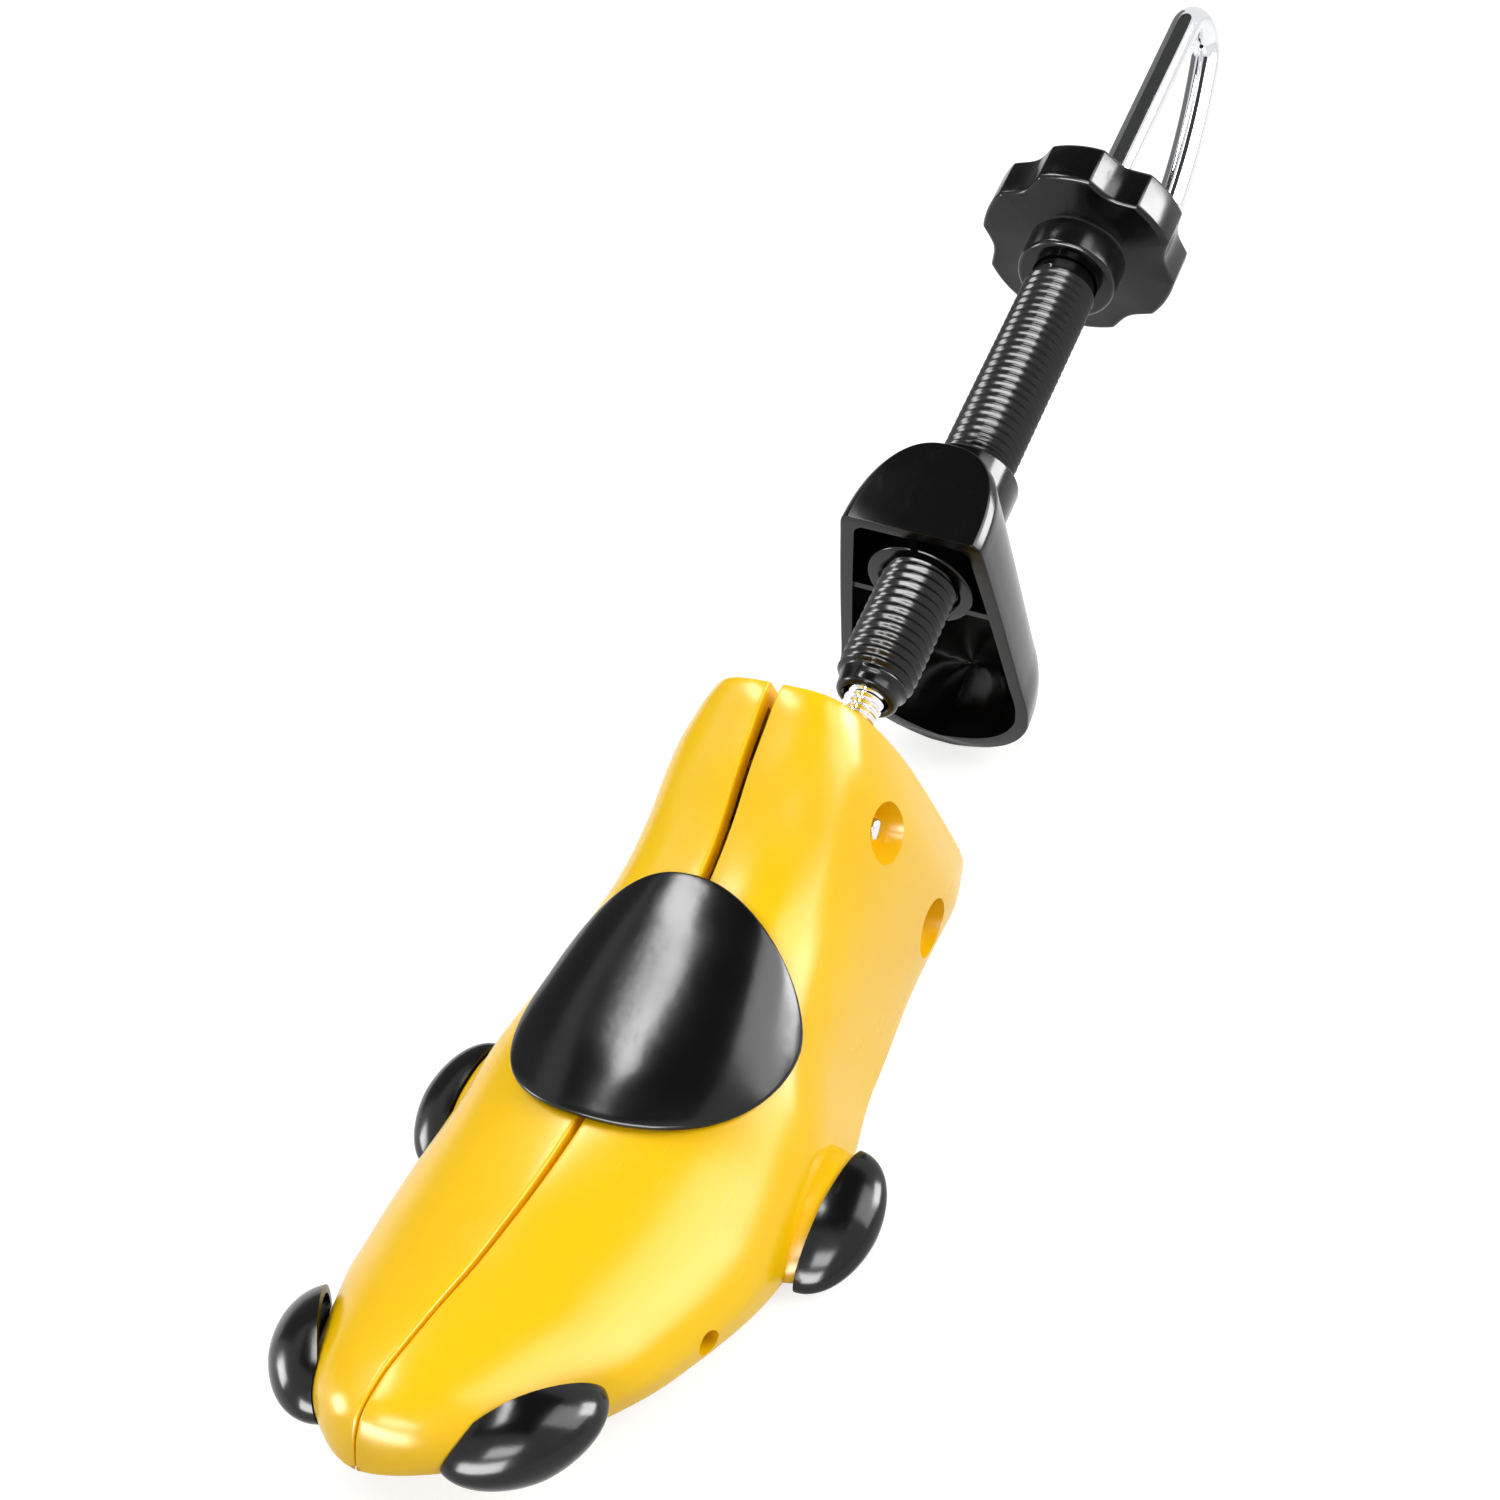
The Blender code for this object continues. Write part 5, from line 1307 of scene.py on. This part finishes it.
# Direction from the aim point, distance, heading of the long side, length, width and radiance of
# the panels that light the surfaces, and of those that are only mirrored in them
LIGHTS = (
    ("left_light", (-0.60, 0.00, 0.80), 1.3, (0.0, 1.0, 0.0), 0.80, 0.80, 4.4),
    ("right_light", (0.80, 0.22, 0.56), 1.3, (0.0, 1.0, 0.0), 0.80, 0.80, 5.8),
    ("front_light", (0.00, -0.85, 0.50), 1.3, (1.0, 0.0, 0.0), 0.60, 0.40, 4.5),
)
MIRRORED = (
    ("overhead_strip", (-0.42, 0.07, 0.90), 1.0, (0.44, -0.87, 0.23), 0.55, 0.13, 24.0),
    ("right_softbox", (0.68, 0.33, 0.66), 1.2, (0.72, 0.13, -0.68), 1.00, 0.65, 5.5),
    ("back_panel", (0.69, 0.61, 0.38), 1.1, (-0.70, 0.70, 0.0), 0.40, 0.44, 22.0),
    ("front_panel", (0.00, -0.93, 0.30), 1.0, (1.0, 0.0, 0.0), 0.90, 0.36, 24.0),
    ("high_panel", (0.22, -0.70, 0.68), 1.0, (1.0, 0.0, 0.0), 0.50, 0.24, 15.0),
    ("left_panel", (-0.88, -0.42, 0.20), 1.0, (0.42, -0.88, 0.0), 0.30, 0.30, 18.0),
)
# Dark screens behind them: direction, distance, heading of the long side, length, width, glow
FLAGS = (
    ("top_flag", (-0.12, 0.20, 0.97), 1.6, (0.0, 1.0, 0.0), 1.90, 2.20, 0.06),
    ("left_flag", (-0.80, 0.50, 0.30), 1.6, (0.5, 0.8, 0.0), 2.00, 1.30, 0.20),
)


def facing(direction, distance, heading):
    """Return the frame of a panel that faces the aim point, with its Y side along a heading."""
    out = Vector(direction).normalized()
    along = Vector(heading)
    along = (along - out * along.dot(out)).normalized()
    turn = Matrix((along.cross(out), along, out)).transposed().to_4x4()
    return Matrix.Translation(AIM + out * distance) @ turn


def panel_lamp(name, direction, distance, heading, long_side, width, radiance, reflected):
    """Add a rectangular lamp: it either lights the surfaces or is only mirrored in them."""
    lamp = bpy.data.lights.new(name, "AREA")
    lamp.shape = "RECTANGLE"
    lamp.size, lamp.size_y = width, long_side
    lamp.energy = radiance * pi * width * long_side
    thing = placed(name, lamp)
    thing.matrix_world = facing(direction, distance, heading)
    thing.visible_camera = False
    thing.visible_diffuse, thing.visible_glossy = not reflected, reflected


def sheet(name, x, y, level, tone):
    """Return a flat rectangle with a matt material that can glow white, its tree and shader."""
    mesh = bpy.data.meshes.new(name)
    mesh.from_pydata([(-x, -y, level), (x, -y, level), (x, y, level), (-x, y, level)], [],
                     [(0, 1, 2, 3)])
    material = bpy.data.materials.new(name)
    material.use_nodes = True
    mesh.materials.append(material)
    shader = material.node_tree.nodes["Principled BSDF"]
    shader.inputs["Base Color"].default_value = (tone, tone, tone, 1.0)
    shader.inputs["Specular IOR Level"].default_value = 0.0
    shader.inputs["Emission Color"].default_value = (1.0, 1.0, 1.0, 1.0)
    return placed(name, mesh), material.node_tree, shader


def dark_flag(name, direction, distance, heading, long_side, width, glow):
    """Add a dark screen that faces the aim point and is seen only in reflections."""
    screen, _, shader = sheet(name, width / 2, long_side / 2, 0, 0.0)
    shader.inputs["Emission Strength"].default_value = glow
    screen.matrix_world = facing(direction, distance, heading)
    screen.visible_camera = screen.visible_diffuse = screen.visible_shadow = False


def seen_directly(tree, place):
    """Return a value that is one for camera, glossy and transmission rays and else zero."""
    path = node(tree, "ShaderNodeLightPath", place)
    first = node(tree, "ShaderNodeMath", (place[0] + 200, place[1]), operation="MAXIMUM")
    second = node(tree, "ShaderNodeMath", (place[0] + 400, place[1]), operation="MAXIMUM")
    tree.links.new(path.outputs["Is Camera Ray"], first.inputs[0])
    tree.links.new(path.outputs["Is Glossy Ray"], first.inputs[1])
    tree.links.new(first.outputs["Value"], second.inputs[0])
    tree.links.new(path.outputs["Is Transmission Ray"], second.inputs[1])
    return second.outputs["Value"]


def white_world():
    """Set a world that is white where it is seen, and a weak fill light elsewhere."""
    world = bpy.data.worlds.new("studio")
    bpy.context.scene.world = world
    world.use_nodes = True
    tree = world.node_tree
    background = tree.nodes["Background"]
    background.inputs["Color"].default_value = (1.0, 1.0, 1.0, 1.0)
    strength = ranged(tree, (-200, 0), seen_directly(tree, (-900, 0)), 0.0, 1.0, FILL, WHITE)
    tree.links.new(strength, background.inputs["Strength"])


def pale_floor():
    """Add the floor: pale, lifted to white where it is seen in full light, darker in shadow."""
    floor, tree, shader = sheet("floor", FLOOR_SIDE, FLOOR_SIDE, FLOOR_LEVEL, FLOOR_TONE)
    shader.inputs["Roughness"].default_value = 0.9
    seen = seen_directly(tree, (-1000, -300))
    tree.links.new(ranged(tree, (-300, -300), seen, 0.0, 1.0, 0.0, FLOOR_GLOW),
                   shader.inputs["Emission Strength"])


def add_camera():
    """Add the camera, which looks down on the toe from the front right."""
    lens = bpy.data.cameras.new("camera")
    lens.lens, lens.sensor_width, lens.sensor_fit = 52.04, 36.0, "HORIZONTAL"
    lens.clip_start, lens.clip_end = 0.01, 50.0
    ahead = CAMERA_AHEAD.normalized()
    right = (CAMERA_RIGHT - ahead * CAMERA_RIGHT.dot(ahead)).normalized()
    turn = Matrix((right, right.cross(ahead), -ahead)).transposed().to_4x4()
    camera = placed("camera", lens)
    camera.matrix_world = Matrix.Translation(CAMERA_PLACE) @ turn
    bpy.context.scene.camera = camera


class STRETCHER_OT_stage(Operator):
    """Set up the floor, the world, the lamps and the camera"""

    bl_idname = "stretcher.stage"
    bl_label = "Stage"

    def execute(self, context):
        context.scene.view_settings.view_transform = "Standard"
        white_world()
        pale_floor()
        for lamps, reflected in ((LIGHTS, False), (MIRRORED, True)):
            for lamp in lamps:
                panel_lamp(*lamp, reflected)
        for flag in FLAGS:
            dark_flag(*flag)
        add_camera()
        return {"FINISHED"}


class STRETCHER_PT_panel(Panel):
    """Sizes, colours and steps of the shoe stretcher"""

    bl_label = "Shoe Stretcher"
    bl_idname = "STRETCHER_PT_panel"
    bl_space_type = "VIEW_3D"
    bl_region_type = "UI"
    bl_category = "Stretcher"

    def draw(self, context):
        layout = self.layout
        layout.use_property_split = True
        for step in STEPS:
            layout.operator(step.bl_idname)
        for group in (context.scene.stretcher_toe, context.scene.stretcher_screw,
                      context.scene.stretcher_finish):
            column = layout.box().column()
            for name in group.__annotations__:
                column.prop(group, name)


STEPS = (STRETCHER_OT_toe_block, STRETCHER_OT_plugs, STRETCHER_OT_pad, STRETCHER_OT_hinge,
         STRETCHER_OT_spindle, STRETCHER_OT_knob, STRETCHER_OT_heel, STRETCHER_OT_stage)
GROUPS = (("stretcher_toe", STRETCHER_PG_toe), ("stretcher_screw", STRETCHER_PG_screw),
          ("stretcher_finish", STRETCHER_PG_finish))


def register():
    """Register the groups, operators and panel."""
    for name, group in GROUPS:
        bpy.utils.register_class(group)
        setattr(bpy.types.Scene, name, PointerProperty(type=group))
    for step in (*STEPS, STRETCHER_PT_panel):
        bpy.utils.register_class(step)


def unregister():
    """Take back what register did."""
    for step in reversed((*STEPS, STRETCHER_PT_panel)):
        bpy.utils.unregister_class(step)
    for name, group in reversed(GROUPS):
        delattr(bpy.types.Scene, name)
        bpy.utils.unregister_class(group)


def plain(corners):
    """Return a box's corners as plain lists."""
    return [[float(value) for value in corner] for corner in corners]


def main():
    """Register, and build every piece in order."""
    register()
    bpy.ops.stretcher.toe_block()
    bpy.ops.stretcher.plugs()
    bpy.ops.stretcher.pad()
    bpy.ops.stretcher.hinge()
    bpy.ops.stretcher.spindle()
    bpy.ops.stretcher.knob()
    bpy.ops.stretcher.heel()
    bpy.ops.stretcher.stage()
    bpy.context.view_layer.update()


if __name__ == "__main__":
    main()
